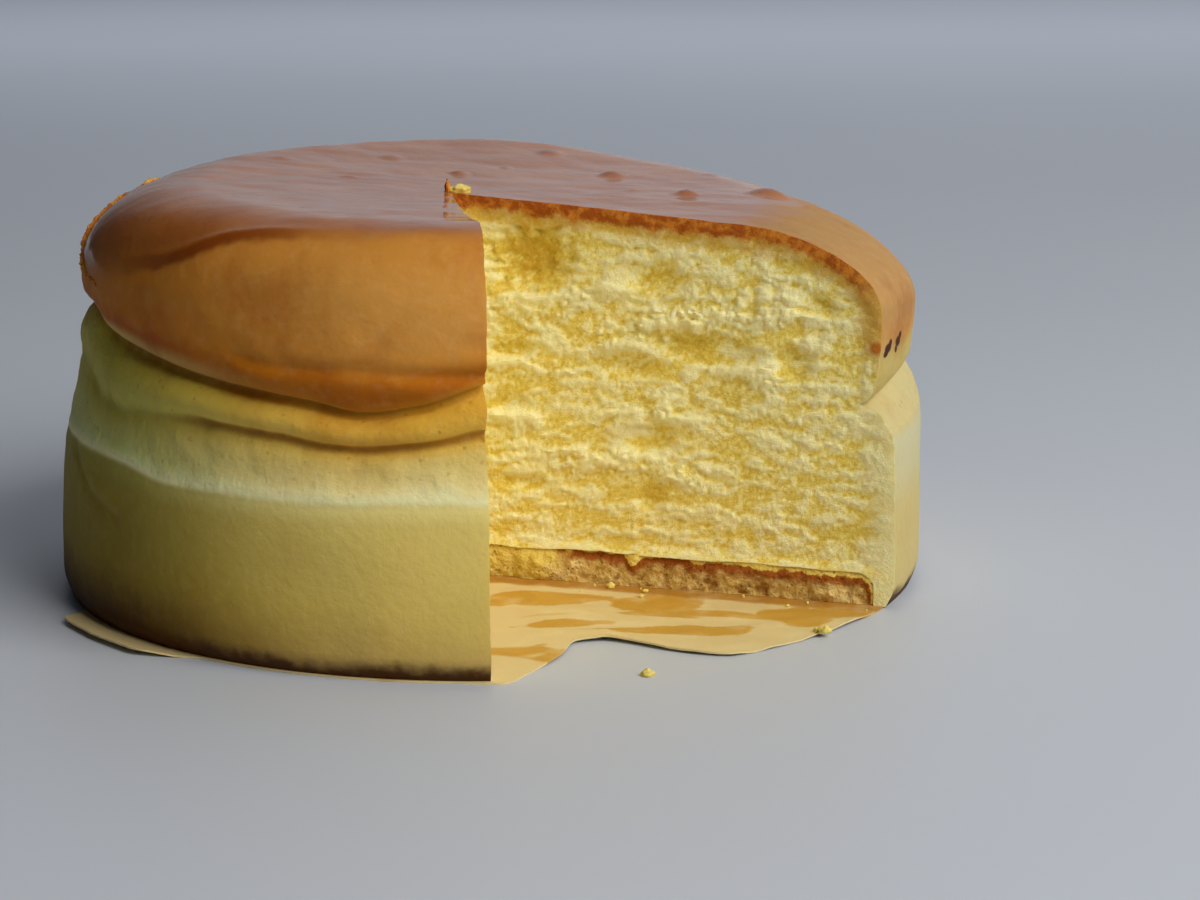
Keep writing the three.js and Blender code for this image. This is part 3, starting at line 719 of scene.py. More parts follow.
skinFinish = {
    # the stops darken towards the foot, partly browning and partly painted shade; the pale stop at 0.372 is a
    # painted highlight on the lit ridge, and the stops at 0.53 and 0.60 are lightened as painted light on the
    # roll
    "stops": [  # up the side, as a share of the eight stretches
        [0.0, srgb(100, 54, 8)], [0.06, srgb(142, 96, 24)], [0.125, srgb(176, 138, 44)],
        [0.17, srgb(202, 171, 64)], [0.25, srgb(217, 192, 92)], [0.345, srgb(228, 214, 134)],
        [0.372, srgb(244, 239, 182)], [0.41, srgb(234, 215, 142)], [0.482, srgb(222, 190, 92)],
        [0.53, srgb(236, 206, 104)], [0.60, srgb(224, 186, 78)], [0.625, srgb(158, 88, 8)],
        [0.65, srgb(178, 98, 8)], [0.68, srgb(192, 112, 14)], [0.71, srgb(212, 138, 34)],
        [0.76, srgb(210, 144, 52)], [0.84, srgb(200, 135, 56)], [1.0, srgb(190, 124, 54)],
    ],
    "shade": srgb(214, 172, 130),
    # the foot line: partly a browned edge, partly painted contact shade
    "foot": srgb(80, 46, 12),
    # painted shade low on the left wall
    "leftFootShade": srgb(120, 82, 60),
    "tan": srgb(232, 172, 46),
    # the crease line: partly browning, partly painted shade in the crease
    "line": srgb(168, 108, 22),
    "sunlit": srgb(170, 134, 84),
    # painted shade on the left of the wall
    "leftWallShade": srgb(186, 186, 140),
    "pale": srgb(200, 185, 128),
    "paleLobe": srgb(194, 172, 98),
    "wallHigh": srgb(196, 190, 149),
    "wallLow": srgb(198, 179, 116),
    "frontWall": srgb(250, 230, 150),
    "frontCap": srgb(226, 168, 92),
    # painted shade on the cap's left side
    "leftCapShade": srgb(245, 220, 180),
    "leftLip": srgb(206, 166, 88),
    "glaze": srgb(160, 92, 34),
    "glazeLight": srgb(172, 106, 46),
    # painted shade inside the slits
    "wave": srgb(134, 64, 12),
    "slitShade": srgb(70, 28, 14),
    # painted shade: a cool olive tint for the shaded left side
    "oliveShade": srgb(220, 240, 216),
    "flecks": srgb(250, 222, 160),
    # painted: the bubbles' darker brown stands in for their weaker reflection
    "bubble": srgb(132, 60, 16),
    # painted shade in the pits of the pores
    "poreShade": srgb(206, 170, 110),
    "tanned": [[-165, 0], [-138, 0.1], [-122, 0.4], [-106, 0.9], [-90, 1], [-24, 0.1], [0, 0.1], [60, 0.1],
               [120, 0.6], [160, 0.15]],
    "creaseLine": [[-175, 0.2], [-150, 0], [-138, 0.15], [-128, 1], [-84, 1], [-50, 0.5], [-30, 0], [0, 0],
                   [60, 0.8], [120, 1], [160, 0.5]],
    "paleLip": [[-60, 0], [-34, 0.9], [-10, 1], [10, 0.7], [30, 0], [90, 0], [180, 0]],
    "shadeLeft": [[-176, 0.8], [-164, 1], [-148, 1], [-134, 0.7], [-118, 0.1], [-105, 0], [60, 0],
                  [150, 0], [170, 0.4]],
    "glazeFrom": [[-173, 6.0], [-150, 6.12], [-139, 6.2], [-131, 6.36], [-126, 6.48], [-118, 6.58],
                  [-97, 6.68], [-60, 6.76], [-24, 6.84], [0, 6.78], [40, 6.6], [90, 6.4], [140, 6.25]],
    "waveShare": [[-152, 0], [-146, 0.3], [-138, 0.8], [-130, 1], [-120, 0.8], [-113, 0.2], [-106, 0],
                  [0, 0], [180, 0]],
    "slits": [[-20.0, 53.3, 1.2, 0.9], [-20.9, 52.4, 2.2, 1.1], [-21.6, 51.4, 1.6, 0.8],
              [-15.3, 53.9, 1.0, 0.8], [-16.2, 52.8, 1.8, 1.1], [-17.0, 51.4, 0.9, 0.8]],
}


def skinCurve(name, azimuth):
    return around(skinFinish[name])(azimuth)


def markSkin(blank):  # values that tell the skin's finish where it is browned, glazed or pale, and where shade is painted on its left side
    points = getPoints(blank.data) / mm
    azimuth = azimuthOf(points)
    up = getValues(blank.data, "up")
    for name in ("tanned", "creaseLine", "paleLip", "shadeLeft", "waveShare"):
        setValues(blank.data, name, skinCurve(name, azimuth))
    setValues(blank.data, "glazed", np.where(up > 5.5, up - skinCurve("glazeFrom", azimuth), -1))
    raised = np.zeros(len(points))
    for x, y, radius, height in skinRelief["bubbles"]:
        distance = np.hypot(points[:, 0] - x, points[:, 1] - y) / radius
        raised += min(1, height) * bell(distance / 0.6) * (up > 6.5)
    setValues(blank.data, "bubbled", raised)


def spotAt(place, azimuth, height, halfWide, halfHigh):  # 1 inside a small upright oval on the skin
    ups = np.linspace(5, 6, 60)
    radii, heights = outlinePoint(ups, azimuth)
    radius = np.interp(height, heights, radii)
    at = [radius * mm * v for v in direction(azimuth)] + [height * mm]
    scale = [1 / halfWide / mm, 1 / halfWide / mm, 1 / halfHigh / mm]
    scaled = vectorMaths("MULTIPLY", vectorMaths("SUBTRACT", place, at, "Vector"), scale, "Vector")
    return between(vectorMaths("LENGTH", scaled), 1.2, 0.7)


def makeSkin():
    material, tree, shader = newFinish("bakedSkin")
    place = objectPlace(tree)
    up = readValue(tree, "up")
    wander = noiseAt(place, 90, 3)
    jitter = wobble(wander, 0.5)
    share = maths("DIVIDE", plus(up, jitter), 8.0)
    colour = ramp(share, skinFinish["stops"])
    mottle = noiseAt(place, 60, 5, 0.6)
    fine = noiseAt(place, 420, 3, 0.6)
    heightAbove = node(tree, "ShaderNodeSeparateXYZ", {0: place}).outputs["Z"]
    front, paleSide, shadeLeft = [readValue(tree, name) for name in ("tanned", "paleLip", "shadeLeft")]
    fold = times(between(up, 3.7, 4.1), between(up, 5.3, 5.0))
    toasted = times(front, fold, 0.7)
    colour = mixColour(toasted, colour, skinFinish["tan"])
    # a brown line along the crease under the roll: partly browning, partly painted crease shade
    off = maths("ABSOLUTE", minus(plus(up, times(jitter, 0.3)), 4.02))
    line = times(between(off, 0.15, 0.02), readValue(tree, "creaseLine"))
    colour = mixColour(times(line, 0.85), colour, skinFinish["line"])
    lifted = plus(heightAbove, times(jitter, 12 * mm))
    highWall = between(heightAbove, 18 * mm, 31 * mm)
    paleWall = mixColour(highWall, skinFinish["wallLow"], skinFinish["wallHigh"])
    pale = mixColour(between(up, 2.6, 3.0), paleWall, skinFinish["pale"])
    pale = mixColour(between(up, 4.9, 5.2), pale, skinFinish["paleLobe"])
    palePart = between(lifted, 56 * mm, 51.5 * mm)
    colour = mixColour(times(palePart, paleSide), colour, pale)
    sunlit = times(between(up, 5.4, 6.0), times(paleSide, 0.8))
    colour = mixColour(sunlit, colour, skinFinish["sunlit"])
    frontWall = times(between(up, 2.95, 2.7), front, 0.3)
    colour = mixColour(frontWall, colour, skinFinish["frontWall"])
    frontCap = times(between(up, 5.4, 5.8), between(up, 6.6, 6.1, 0.0, 0.4), front)
    colour = mixColour(frontCap, colour, skinFinish["frontCap"])
    # painted shade: the cap's side darkened along the left
    leftCapShade = times(between(up, 5.2, 5.5), shadeLeft)
    colour = tinted(leftCapShade, colour, skinFinish["leftCapShade"])
    lipUp = plus(up, times(jitter, 0.4))
    leftLip = times(between(lipUp, 5.44, 5.22), between(up, 4.96, 5.0), shadeLeft)
    colour = mixColour(leftLip, colour, skinFinish["leftLip"])
    # painted shade: the left side of the wall is darkened and greened
    leftWallShade = times(between(up, 2.95, 2.7), shadeLeft)
    colour = tinted(leftWallShade, colour, skinFinish["leftWallShade"])
    # painted shade: an olive tint on the band and roll along the shaded left side
    oliveShade = times(between(up, 2.9, 3.2), between(up, 5.15, 4.9), shadeLeft)
    colour = tinted(oliveShade, colour, skinFinish["oliveShade"])
    mottled = times(between(mottle, 0.45, 0.72), between(up, 3.0, 5.4, 0.12, 0.55))
    colour = tinted(mottled, colour, skinFinish["shade"])
    light = mixColour(0.09, colour, skinFinish["flecks"])
    colour = mixColour(between(fine, 0.45, 0.75, 0.0, 0.7), colour, light)
    level = plus(readValue(tree, "glazed"), times(jitter, 0.35))
    glazed = between(level, -0.12, 0.2)
    browned = mixColour(between(mottle, 0.4, 0.7), skinFinish["glaze"], skinFinish["glazeLight"])
    colour = mixColour(glazed, colour, browned)
    wave = maths("ABSOLUTE", minus(level, 0.03))
    wave = times(between(wave, 0.1, 0.02), readValue(tree, "waveShare"))
    colour = mixColour(wave, colour, skinFinish["wave"])
    # the bubbles are painted darker brown, standing in for the weaker reflection they show
    colour = mixColour(times(readValue(tree, "bubbled"), 0.8), colour, skinFinish["bubble"])
    # painted shade inside small slits in the skin, drawn as dark ovals
    for slit in skinFinish["slits"]:
        colour = mixColour(spotAt(place, *slit), colour, skinFinish["slitShade"])
    height, pits = pores(place, 1.9 * mm, 0.15)
    low = times(between(up, 5.2, 4.9), between(up, 2.95, 3.1))
    # painted shade in the pits of the pores
    colour = tinted(times(pits, low, 0.4), colour, skinFinish["poreShade"])
    ragged = plus(heightAbove, wobble(noiseAt(place, 150, 4, 0.6), 6 * mm))
    # painted shade: the foot of the left wall darkens, up to 15 mm high
    leftFootShade = times(between(ragged, 15 * mm, 1 * mm), shadeLeft)
    colour = tinted(leftFootShade, colour, skinFinish["leftFootShade"])
    # a dark brown ragged line at the foot: partly a browned edge, partly painted contact shade
    edge = between(ragged, 4.4 * mm, 1.4 * mm)
    colour = mixColour(edge, colour, skinFinish["foot"])
    calm = times(between(up, 5.4, 4.9, 0.4, 1.0), between(up, 2.6, 3.2, 0.35, 0.6))
    setInputs(shader, {"Base Color": colour, "Roughness": between(glazed, 0, 1, 0.62, 0.42),
                       "Normal": bumped(times(height, calm), 0.5 * mm), "Coat Weight": times(glazed, 0.75),
                       "Coat Roughness": 0.09, "Coat IOR": 1.5, "Specular IOR Level": 0.14,
                       "Subsurface Weight": 0.2, "Subsurface Radius": (2.2, 1.3, 0.5),
                       "Subsurface Scale": mm})
    return material


crumbFinish = {
    "cream": srgb(248, 238, 178),
    "body": srgb(244, 225, 132),
    "gold": srgb(230, 202, 84),
    # painted shade: the colour of the deepest hollows
    "deep": srgb(214, 168, 50),
    "crust": srgb(172, 86, 14),
    "crustLight": srgb(212, 134, 42),
    "underCrust": srgb(216, 168, 62),
    "streak": srgb(190, 112, 30),
    "streakPlace": [76.0 * mm, -34.8 * mm, 53.1 * mm],
    "wallSkin": srgb(252, 243, 184),
}


def makeCrumb():
    material, tree, shader = newFinish("tornCrumb")
    place = objectPlace(tree)
    recess = readValue(tree, "recess")
    depth = readValue(tree, "skinDepth")
    up = readValue(tree, "up")
    fine = noiseAt(place, 1300, 3, 0.6)
    small = noiseAt(place, 420, 4, 0.65)
    spread = plus(wobble(fine, 3.0), wobble(small, 0.8))
    # pale on raised lumps to deep yellow in the hollows: painted light and shade over the relief, with random
    # speckle
    colour = ramp(between(plus(recess, spread), -1.2, 3.0), [
        [0.0, crumbFinish["cream"]], [0.34, crumbFinish["body"]], [0.68, crumbFinish["gold"]],
        [1.0, crumbFinish["deep"]]])
    wander = wobble(noiseAt(place, 260, 5, 0.75), 5.0)
    thick = wobble(noiseAt(place, 45, 2), 3.0)
    jagged = plus(depth, plus(wander, thick))
    browned = between(up, 6.0, 6.4)
    tanned = between(up, 5.45, 5.8)
    under = times(between(jagged, 7.2, 2.6), tanned)
    colour = mixColour(times(under, 0.85), colour, crumbFinish["underCrust"])
    crust = times(between(jagged, 3.7, 2.2), browned)
    speckles = between(small, 0.42, 0.62)
    speckled = mixColour(speckles, crumbFinish["crust"], crumbFinish["crustLight"])
    colour = mixColour(crust, colour, speckled)
    pale = times(between(jagged, 7.0, 1.0), between(up, 5.0, 4.2))
    colour = mixColour(times(pale, 0.75), colour, crumbFinish["wallSkin"])
    offset = vectorMaths("DISTANCE", place, crumbFinish["streakPlace"])
    streak = plus(offset, times(wander, 0.3 * mm))
    colour = mixColour(between(streak, 2.0 * mm, 0.8 * mm), colour, crumbFinish["streak"])
    height = plus(noiseAt(place, 640, 5, 0.8), times(fine, 0.5))
    setInputs(shader, {"Base Color": colour, "Normal": bumped(height, 0.42 * mm), "Roughness": 0.75,
                       "Specular IOR Level": 0.25, "Subsurface Weight": 0.3,
                       "Subsurface Radius": (1.0, 0.7, 0.3), "Subsurface Scale": mm})
    return material


# the torn edge of the crust along the left of the cap, each [azimuth, share of the cap's stretch]
tornRim = {
    "path": [[-152, -0.3], [-157, -0.1], [-163, 0.0], [-168, 0.08], [-172, 0.17], [-175, 0.3], [-177, 0.44],
             [-181, 0.55], [-187, 0.62], [-194, 0.66]],
    "steps": 280,
    "halfWidth": 0.75,
    "height": 0.95,
}
curl = {
    "place": (-7.2, -2.5, 80.6),
    "flake": (-2.1, 0.6, 0.55, 0.9, 2.1),
    "crumb": (0.5, 0.7, 2.2, 1.0, 1.1),
}


def lump(name, halfSizes, place, seed, rough, subdivisions=4):  # an uneven crumb, sizes in millimetres
    bpy.ops.mesh.primitive_ico_sphere_add(subdivisions=subdivisions, radius=1)
    made = bpy.context.object
    made.name = name
    points = getPoints(made.data)
    x, y, z = points.T
    swell = 1 + rough * softNoise(x * 1.6, y * 1.6, z * 1.6, seed) + 0.5 * rough * softNoise(
        x * 4, y * 4, z * 4, seed + 1)
    setPoints(made.data, (points * swell[:, None] * halfSizes + place) * mm)
    return made


def fuse(cakeBlank, added, up, depth, recess):
    for name, value in (("up", up), ("skinDepth", depth), ("recess", recess), ("torn", 0)):
        setValues(added.data, name, value)
    applyBoolean(cakeBlank, added, "UNION")


def makeTornRim():
    ringRadius, sweep = 80, math.radians(100)  # a bent rod, later laid along its path on the skin
    bpy.ops.mesh.primitive_circle_add(vertices=10, radius=mm, fill_type="NGON",
                                      location=(ringRadius * mm, 0, 0), rotation=(math.pi / 2, 0, 0))
    rim = bpy.context.object
    rim.name = "tornRim"
    onlySelect(rim)
    bpy.ops.object.transform_apply(location=True, rotation=True, scale=True)
    editAll(rim)
    bpy.ops.mesh.spin(steps=tornRim["steps"], angle=-sweep, center=(0, 0, 0), axis=(0, 0, 1))
    bpy.ops.mesh.select_all(action="SELECT")
    bpy.ops.mesh.remove_doubles(threshold=1e-6)
    endEdit()
    points = getPoints(rim.data) / mm
    share = np.abs(np.arctan2(points[:, 1], points[:, 0])) / sweep
    across, outward = np.hypot(points[:, 0], points[:, 1]) - ringRadius, points[:, 2]
    stations = np.array(tornRim["path"], float)
    azimuth = np.interp(share * (len(stations) - 1), np.arange(len(stations)), stations[:, 0])
    at = np.interp(share * (len(stations) - 1), np.arange(len(stations)), stations[:, 1])
    at += 0.03 * softNoise(azimuth / 5, 0.5, 0.5, 61) + 0.012 * softNoise(azimuth / 1.2, 0.5, 0.5, 62)

    def onSkin(azimuth, at):
        radius, height = outlinePoint(6 + at, azimuth)
        return polar(radius, azimuth, height)

    middle = onSkin(azimuth, at)
    along = onSkin(azimuth - 0.4, at) - middle
    upward = onSkin(azimuth, at + 0.02) - middle
    along /= np.linalg.norm(along, axis=1)[:, None]
    normal = np.cross(upward, along)
    normal /= np.linalg.norm(normal, axis=1)[:, None]
    normal *= np.sign((normal * middle).sum(1))[:, None]
    sideways = np.cross(normal, along)
    ends = smoothStep(share, 0, 0.04) * smoothStep(share, 1, 0.92)
    crags = 0.6 - cellDistance(azimuth / 0.7, across, 0.5, 64)
    jagged = 0.5 + 0.8 * softNoise(azimuth / 2.3, 0.5, 0.5, 63) + 0.9 * crags
    raised = outward * tornRim["height"] * np.clip(jagged, 0.3, 2)
    stand = np.where(outward > 0, raised, outward * 1.2) * ends
    wide = across * tornRim["halfWidth"] * (0.8 + 0.5 * softNoise(azimuth / 1.1, outward * 2, 2.5, 65))
    setPoints(rim.data, (middle + normal * (stand - 0.2)[:, None] + sideways * wide[:, None]) * mm)
    editAll(rim)
    bpy.ops.mesh.normals_make_consistent(inside=False)
    endEdit()
    return rim


def addCrustScraps(cakeBlank, crumbly):
    rim = makeTornRim()
    rim.data.materials.append(crumbly)
    fuse(cakeBlank, rim, 6.62, 2.6, 0.4)
    for name, up, depth, recess in (("flake", 7.0, 0.2, 0.5), ("crumb", 5.0, 9.0, 0.9)):
        u, v, *halfSizes = curl[name]
        place = np.array(curl["place"]) + (u, 0, v)
        piece = lump(name, halfSizes, place, 71, 0.35)
        piece.data.materials.append(crumbly)
        fuse(cakeBlank, piece, up, depth, recess)
    print("torn rim and curl added")


def makeCake(skin, crumbly):
    blank = makeBlank()
    blank.data.materials.append(skin)
    for name in ("torn", "recess", "skinDepth"):
        setValues(blank.data, name, 0)
    markSkin(blank)
    up = getValues(blank.data, "up")
    blankUps = [float(np.mean(up[list(face.vertices)])) for face in blank.data.polygons]
    blankTree = BVHTree.FromPolygons([v.co.copy() for v in blank.data.vertices],
                                     [list(face.vertices) for face in blank.data.polygons])
    addCrustScraps(blank, crumbly)
    cutSlice(blank, crumbSurface, crumb, -1, crumb["height"] + 1, crumbly)
    snug = 0.1
    pocket = makeDisc("pocket", spongeLayer["radius"] - snug, cake["floor"] - 1,
                      spongeLayer["top"] - snug, 24, 150)
    setValues(pocket.data, "torn", 1)
    pocket.data.materials.append(crumbly)
    applyBoolean(blank, pocket, "DIFFERENCE")
    keepLargest(blank)
    markDepth(blank, blankTree, blankUps)
    markSkin(blank)
    smooth(blank, 50)
    sharpSeams(blank)
    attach(blank, "root")
    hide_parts("cheesecake")
    triangles = sum(len(face.vertices) - 2 for face in blank.data.polygons)
    print("cake:", len(blank.data.vertices), "points,", triangles, "triangles")
    return blank


spongeFinish = {
    "skin": srgb(152, 82, 20),
    "crumb": srgb(212, 176, 98),
    "pale": srgb(238, 212, 140),
    # painted shade in the sponge's hollows
    "hollowShade": srgb(152, 104, 42),
    "light": srgb(238, 208, 140),
    "smeared": srgb(228, 200, 98),
}


def spongeSurface(side, along, height):
    lumps = cellDistance(along / 2.6, height / 2.2, 0.4 + side, 41)
    grains = cellDistance(along / 0.9, height / 0.8, 0.7 + side, 42)
    depth = 0.35 + 0.75 * (lumps - 0.5) + 0.45 * (grains - 0.5)
    depth += 0.3 * softNoise(along / 6, height / 4, 1.5, 43)
    skin = smoothStep(height, spongeLayer["top"] - 1.9, spongeLayer["top"] - 1.2)
    depth = depth * (1 - 0.6 * skin) + 0.25 * skin
    depth += 0.55 * smoothStep(height, spongeLayer["top"] - 2.0, spongeLayer["top"] - 0.5)
    depth *= smoothStep(along, 0.3, 4)
    shift = 0.25 * softNoise(along / 1.3, height / 1.3, 2.5, 44)
    heap = 1.5 * bell((along - 19) / 5) * bell((height - 3) / 4) * side
    heap += 1.2 * bell((along - 80.5) / 3.4) * bell((height - 2.4) / 2.6) * side
    depth -= heap * (0.7 + 0.5 * softNoise(along / 2, height / 1.6, 9.5, 45))
    drip = 2.2 * bell((along - 39.2) / 1.5) + 0.8 * np.maximum(softNoise(along / 4.4, 0.5, 3.5, 46), 0)
    drip = (drip + 0.9 * smoothStep(along, 42, 74)) * side
    values = {"torn": 1, "recess": depth, "along": along, "drip": drip}
    return depth - 0.5 * drip * bell((height - 6) / 3), shift * smoothStep(along, 0, 1), 0, values


def makeSpongeFinish():
    material, tree, shader = newFinish("spongeLayer")
    place = objectPlace(tree)
    depth = readValue(tree, "skinDepth")
    recess = readValue(tree, "recess")
    fine = noiseAt(place, 700, 4, 0.65)
    coarse = noiseAt(place, 240, 3, 0.6)
    colour = mixColour(between(coarse, 0.4, 0.65), spongeFinish["crumb"], spongeFinish["pale"])
    # painted shade: the sponge darkens in its hollows
    hollows = between(plus(recess, fine), 0.75, 1.35)
    colour = mixColour(hollows, colour, spongeFinish["hollowShade"])
    colour = mixColour(between(recess, -0.3, -0.9, 0.0, 0.7), colour, spongeFinish["light"])
    wander = wobble(noiseAt(place, 330, 4, 0.65), 4.0)
    hung = minus(depth, times(readValue(tree, "drip"), 0.8))
    skin = between(plus(hung, wander), 3.3, 1.2)
    colour = mixColour(skin, colour, spongeFinish["skin"])
    stray = wobble(noiseAt(place, 420, 4), 2.6)
    hanging = minus(plus(depth, stray), readValue(tree, "drip"))
    fringe = between(hanging, 0.5, 0.1)
    colour = mixColour(times(fringe, readValue(tree, "torn")), colour, spongeFinish["smeared"])
    along = readValue(tree, "along")
    nearApex = plus(along, wobble(coarse, 16.0))
    smear = times(between(nearApex, 25, 20), readValue(tree, "torn"))
    colour = mixColour(smear, colour, spongeFinish["smeared"])
    height = pores(place, 0.9 * mm, 1.0)[0]
    setInputs(shader, {"Base Color": colour, "Normal": bumped(height, 0.7 * mm), "Roughness": 0.85,
                       "Specular IOR Level": 0.2})
    return material


def makeSponge(finish):
    top = spongeLayer["top"]
    sponge = makeDisc("spongeLayer", spongeLayer["radius"], paper["top"], top, 40, 240)
    sponge.data.materials.append(finish)
    mesh = sponge.data
    for name, value in (("torn", 0), ("recess", 0), ("along", 99), ("drip", 0)):
        setValues(mesh, name, value)
    cutSlice(sponge, spongeSurface, spongeLayer, -0.6, top + 2, finish)
    keepLargest(sponge)
    points = getPoints(mesh) / mm
    radius = np.hypot(points[:, 0], points[:, 1])
    corner = spongeLayer["edgeRound"]
    across = np.maximum(radius - (spongeLayer["radius"] - corner), 0)
    upward = np.maximum(points[:, 2] - (top - corner), 0)
    under = top + spongeWave(points) - points[:, 2]
    inner = np.where((across > 0) & (upward > 0), corner - np.hypot(across, upward),
                     np.minimum(1.8 * (spongeLayer["radius"] - radius), under))
    setValues(mesh, "skinDepth", np.maximum(inner, 0))
    smooth(sponge, 60)
    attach(sponge, "root")
    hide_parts("sponge_base")
    print("sponge layer:", len(mesh.vertices), "points")
    return sponge


# the baking paper: a thin sheet that the cake presses flat, loose and wrinkled where the slice is gone
paper = {
    "thickness": 0.36,
    "under": 0.02,
    "top": 0.42,
    "radius": [[-175, 87], [-160, 88], [-153, 95.6], [-137, 95.8], [-128, 89], [-95, 88.6], [-89, 89.4],
               [-86, 83], [-80, 71.6], [-75.5, 62.6], [-71, 63], [-67, 67.4], [-64, 74], [-61, 80],
               [-57, 84.6], [-46, 85], [-33, 85.6], [-20, 86.6], [0, 87.4], [90, 86.6]],
    "pressed": 90.5,
    "lift": 1.1,
    "wrinkle": 0.7,
    "columns": 300,
    "rings": 70,
    "cream": srgb(222, 200, 144),
    "gold": srgb(200, 152, 56),
    "pale": srgb(232, 214, 162),
    # partly a fat stain, partly the sponge's painted shadow
    "stainAndShadow": srgb(176, 124, 44),
    "stains": [[9, -28, 14, 6], [33, -32, 10, 7], [61, -44, 7, 7], [36, -54, 17, 3.6], [14, -49, 9, 2.6]],
}


def paperLift(x, y):
    azimuth = np.degrees(np.arctan2(y, x))
    radius = np.hypot(x, y)
    free = smoothStep(radius, paper["pressed"], 96) * paper["lift"]
    dx, dy = x - cake["apex"][0], y - cake["apex"][1]
    right, left = direction(cake["rightCut"]), direction(cake["leftCut"])
    fromRight = dx * right[1] - dy * right[0]
    fromLeft = -dx * left[1] + dy * left[0]
    inside = np.minimum(fromRight, fromLeft)
    wave = 0.5 + 0.5 * np.sin(np.radians(9 * azimuth))
    crinkle = 0.35 * softNoise(x / 9, y / 4, 0.5, 51) + 0.12 * softNoise(x / 3, y / 2, 0.5, 52)
    loose = (paper["wrinkle"] * wave + crinkle + 0.12) * smoothStep(inside, 6, 15)
    return np.maximum(np.where(inside > 0, loose, free), 0)


def makePaperFinish():
    material, tree, shader = newFinish("bakingPaper")
    place = objectPlace(tree, (1, 2.0, 1), (0.013, 0, 0))
    patches = noiseAt(place, 30, 2, 0.45, 0.5)
    golden = between(patches, 0.57, 0.62)
    ragged = wobble(noiseAt(objectPlace(tree), 120, 3), 1.5)
    for x, y, halfWide, halfDeep in paper["stains"]:
        scale = (1 / halfWide / mm, 1 / halfDeep / mm, 0)
        reach = vectorMaths("LENGTH", objectPlace(tree, scale, (-x / halfWide, -y / halfDeep, 0)))
        golden = maths("MAXIMUM", golden, between(plus(reach, ragged), 1.12, 0.92))
    colour = mixColour(golden, paper["cream"], paper["gold"])
    # a golden-brown strip along the sponge's foot: partly a fat stain, partly the sponge's painted shadow
    right = direction(cake["rightCut"])
    away = vectorMaths("DOT_PRODUCT", objectPlace(tree), (right[1], -right[0], 0))
    start = (cake["apex"][0] * right[1] - cake["apex"][1] * right[0]) * mm
    away = plus(minus(away, start), times(ragged, 2.5 * mm))
    colour = mixColour(between(away, 6.5 * mm, 4.0 * mm), colour, paper["stainAndShadow"])
    sheen = noiseAt(objectPlace(tree), 130, 4)
    colour = mixColour(between(sheen, 0.45, 0.75, 0.0, 0.4), colour, paper["pale"])
    fibres = noiseAt(objectPlace(tree), 1500, 3)
    setInputs(shader, {"Base Color": colour, "Normal": bumped(fibres, 0.05 * mm), "Roughness": 0.42,
                       "Specular IOR Level": 0.5})
    return material


def makePaper(finish):
    rings = paper["rings"]
    outline = [(k / rings * 100 * mm, 0.0) for k in range(rings + 1)]
    sheet = spinOutline("bakingPaper", outline, [k / rings for k in range(rings + 1)], paper["columns"])
    mesh = sheet.data
    points = getPoints(mesh) / mm
    share = getValues(mesh, "up")
    azimuth = np.arctan2(points[:, 1], points[:, 0])
    edge = around(paper["radius"])(np.degrees(azimuth))
    edge += 0.25 * softNoise(np.degrees(azimuth) / 1.6, 0.5, 0.5, 53)
    radius = share * edge
    x, y = radius * np.cos(azimuth), radius * np.sin(azimuth)
    setPoints(mesh, np.c_[x, y, paperLift(x, y) + paper["under"]] * mm)
    if mesh.polygons[0].normal.z < 0:
        mesh.flip_normals()
    applyModifier(sheet, "SOLIDIFY", {"thickness": paper["thickness"] * mm, "offset": 1})
    smooth(sheet, 50)
    mesh.materials.append(finish)
    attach(sheet, "root")
    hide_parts("baking_paper")
    print("paper:", len(mesh.vertices), "points")
    return sheet


# crumbs that fell from the cut, each [x, y, half the size]
looseCrumbs = {
    "placed": [[64.3, -57.6, 1.15], [28.4, -84.0, 1.0], [62.9, -56.4, 0.6], [24, -18.6, 0.8],
               [31, -22.4, 0.5]],
    "onFloor": 1,
    "scattered": 8,
    "seed": 5,
}


def makeLooseCrumbs(finish):
    chance = np.random.default_rng(looseCrumbs["seed"])
    places = [list(place) for place in looseCrumbs["placed"]]
    along = direction(cake["rightCut"])
    for k in range(looseCrumbs["scattered"]):
        s, away = chance.uniform(8, 90), 1.6 + 7 * chance.random() ** 2
        x, y = np.array(cake["apex"]) + s * along + away * np.array([along[1], -along[0]])
        places.append([x, y, chance.uniform(0.2, 0.45)])
    for k, (x, y, half) in enumerate(places):
        onPaper = paperLift(np.array([x]), np.array([y]))[0] + paper["thickness"] + paper["under"]
        height = 0 if k == looseCrumbs["onFloor"] else onPaper
        sizes = half * chance.uniform(0.8, 1.2, 3)
        piece = lump("looseCrumbs", sizes, (x, y, height + 0.55 * sizes[2]), 80 + k, 0.55, 3)
        points = getPoints(piece.data)
        points[:, 2] = np.maximum(points[:, 2], height * mm)
        setPoints(piece.data, points)
    pieces = [piece for piece in bpy.data.objects if piece.name.startswith("looseCrumbs")]
    bpy.ops.object.select_all(action="DESELECT")
    for piece in pieces:
        piece.select_set(True)
    bpy.context.view_layer.objects.active = pieces[0]
    bpy.ops.object.join()
    crumbs = bpy.context.object
    crumbs.name = crumbs.data.name = "looseCrumbs"
    for name, value in (("up", 4.0), ("skinDepth", 9.0), ("recess", 0.7), ("torn", 1.0)):
        setValues(crumbs.data, name, value)
    crumbs.data.materials.append(finish)
    onlySelect(crumbs)
    bpy.ops.object.shade_smooth()
    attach(crumbs, "root")
    print("loose crumbs:", len(places))
    return crumbs


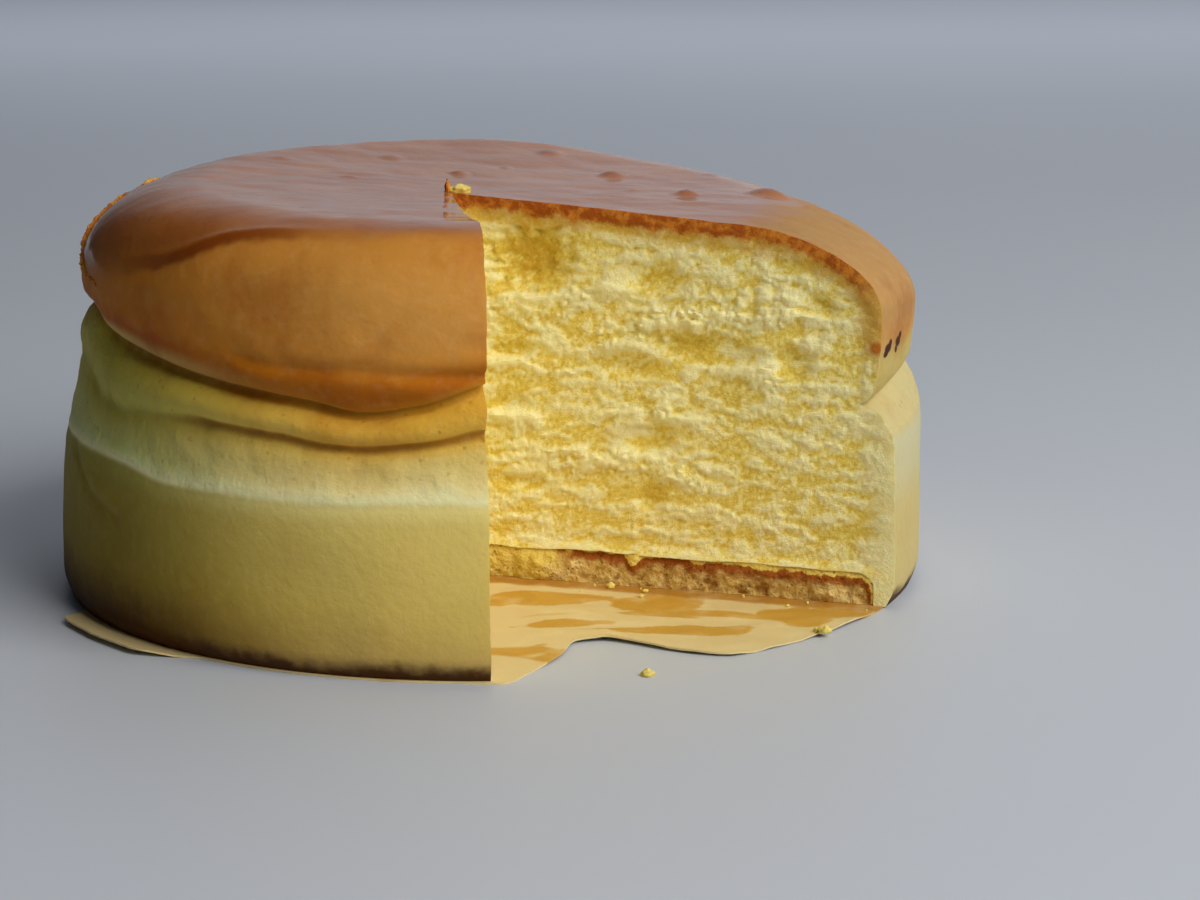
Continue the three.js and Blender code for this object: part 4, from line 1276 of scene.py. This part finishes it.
studio = {
    "cameraPlace": (0, -0.6371, 0.1573),
    "cameraTurn": (78.34, 0, -2.01),
    "lens": 92.3,
    "floor": srgb(194, 200, 210),
    "floorShade": srgb(186, 193, 205),
    "backdrop": srgb(160, 167, 178),
    "dim": srgb(22, 22, 26),
    "glow": srgb(188, 193, 202),
    "lights": [  # name, place, aim, size, power, colour
        ["key", (0.84, -0.84, 0.98), (0, 0, 0.04), (1.1, 1.1), 23.5, (1.0, 0.965, 0.91)],
        ["front", (0.35, -1.5, 0.5), (0, 0, 0.05), (1.2, 0.8), 0.8, (1.0, 0.97, 0.93)],
        ["floorBehind", (0, 1.7, 0.7), (0, 1.7, 0), (3.0, 0.8), 7, (0.9, 0.95, 1.0)],
    ],
}


def makeCamera():
    lens = bpy.data.cameras.new("camera")
    lens.lens = studio["lens"]
    lens.sensor_width = 36
    camera = bpy.data.objects.new("camera", lens)
    camera.location = studio["cameraPlace"]
    camera.rotation_euler = [math.radians(turn) for turn in studio["cameraTurn"]]
    bpy.context.scene.collection.objects.link(camera)
    bpy.context.scene.camera = camera


def makeAreaLight(name, place, target, size, power, colour):
    lamp = bpy.data.lights.new(name, "AREA")
    lamp.shape = "RECTANGLE"
    lamp.size, lamp.size_y = size
    lamp.energy = power
    lamp.color = colour
    light = bpy.data.objects.new(name, lamp)
    light.visible_glossy = name != "floorBehind"
    light.location = place
    light.rotation_euler = (Vector(target) - Vector(place)).to_track_quat("-Z", "Y").to_euler()
    bpy.context.scene.collection.objects.link(light)


def makeStage():
    bpy.ops.object.select_all(action="DESELECT")
    bpy.ops.mesh.primitive_plane_add(size=6, location=(0, 0, 0))
    floor = bpy.context.object
    floor.name = "floor"
    material, tree, shader = newFinish("floor")
    cloud = between(noiseAt(objectPlace(tree), 3, 2), 0.3, 0.7, 0.0, 0.3)
    colour = mixColour(cloud, studio["floor"], studio["floorShade"])
    setInputs(shader, {"Base Color": colour, "Roughness": 0.5})
    floor.data.materials.append(material)
    world = bpy.data.worlds.new("studio")
    world.use_nodes = True
    bpy.context.scene.world = world
    tree = world.node_tree
    towards = node(tree, "ShaderNodeSeparateXYZ", {0: node(tree, "ShaderNodeTexCoord").outputs["Generated"]})
    rightward = plus(times(towards.outputs["X"], 2.0), 0.5)
    glowing = times(between(rightward, -0.5, 0.9), between(towards.outputs["Y"], -0.3, 0.6))
    shade = mixColour(glowing, studio["dim"], studio["glow"])
    seen = node(tree, "ShaderNodeLightPath").outputs["Is Camera Ray"]
    setInputs(tree.nodes["Background"], {"Color": mixColour(seen, shade, studio["backdrop"])})
    for light in studio["lights"]:
        makeAreaLight(*light)
    bpy.context.scene.view_settings.view_transform = "Standard"


makeCamera()
makeStage()
crumbMaterial = makeCrumb()
makeCake(makeSkin(), crumbMaterial)
makeSponge(makeSpongeFinish())
makePaper(makePaperFinish())
makeLooseCrumbs(crumbMaterial)
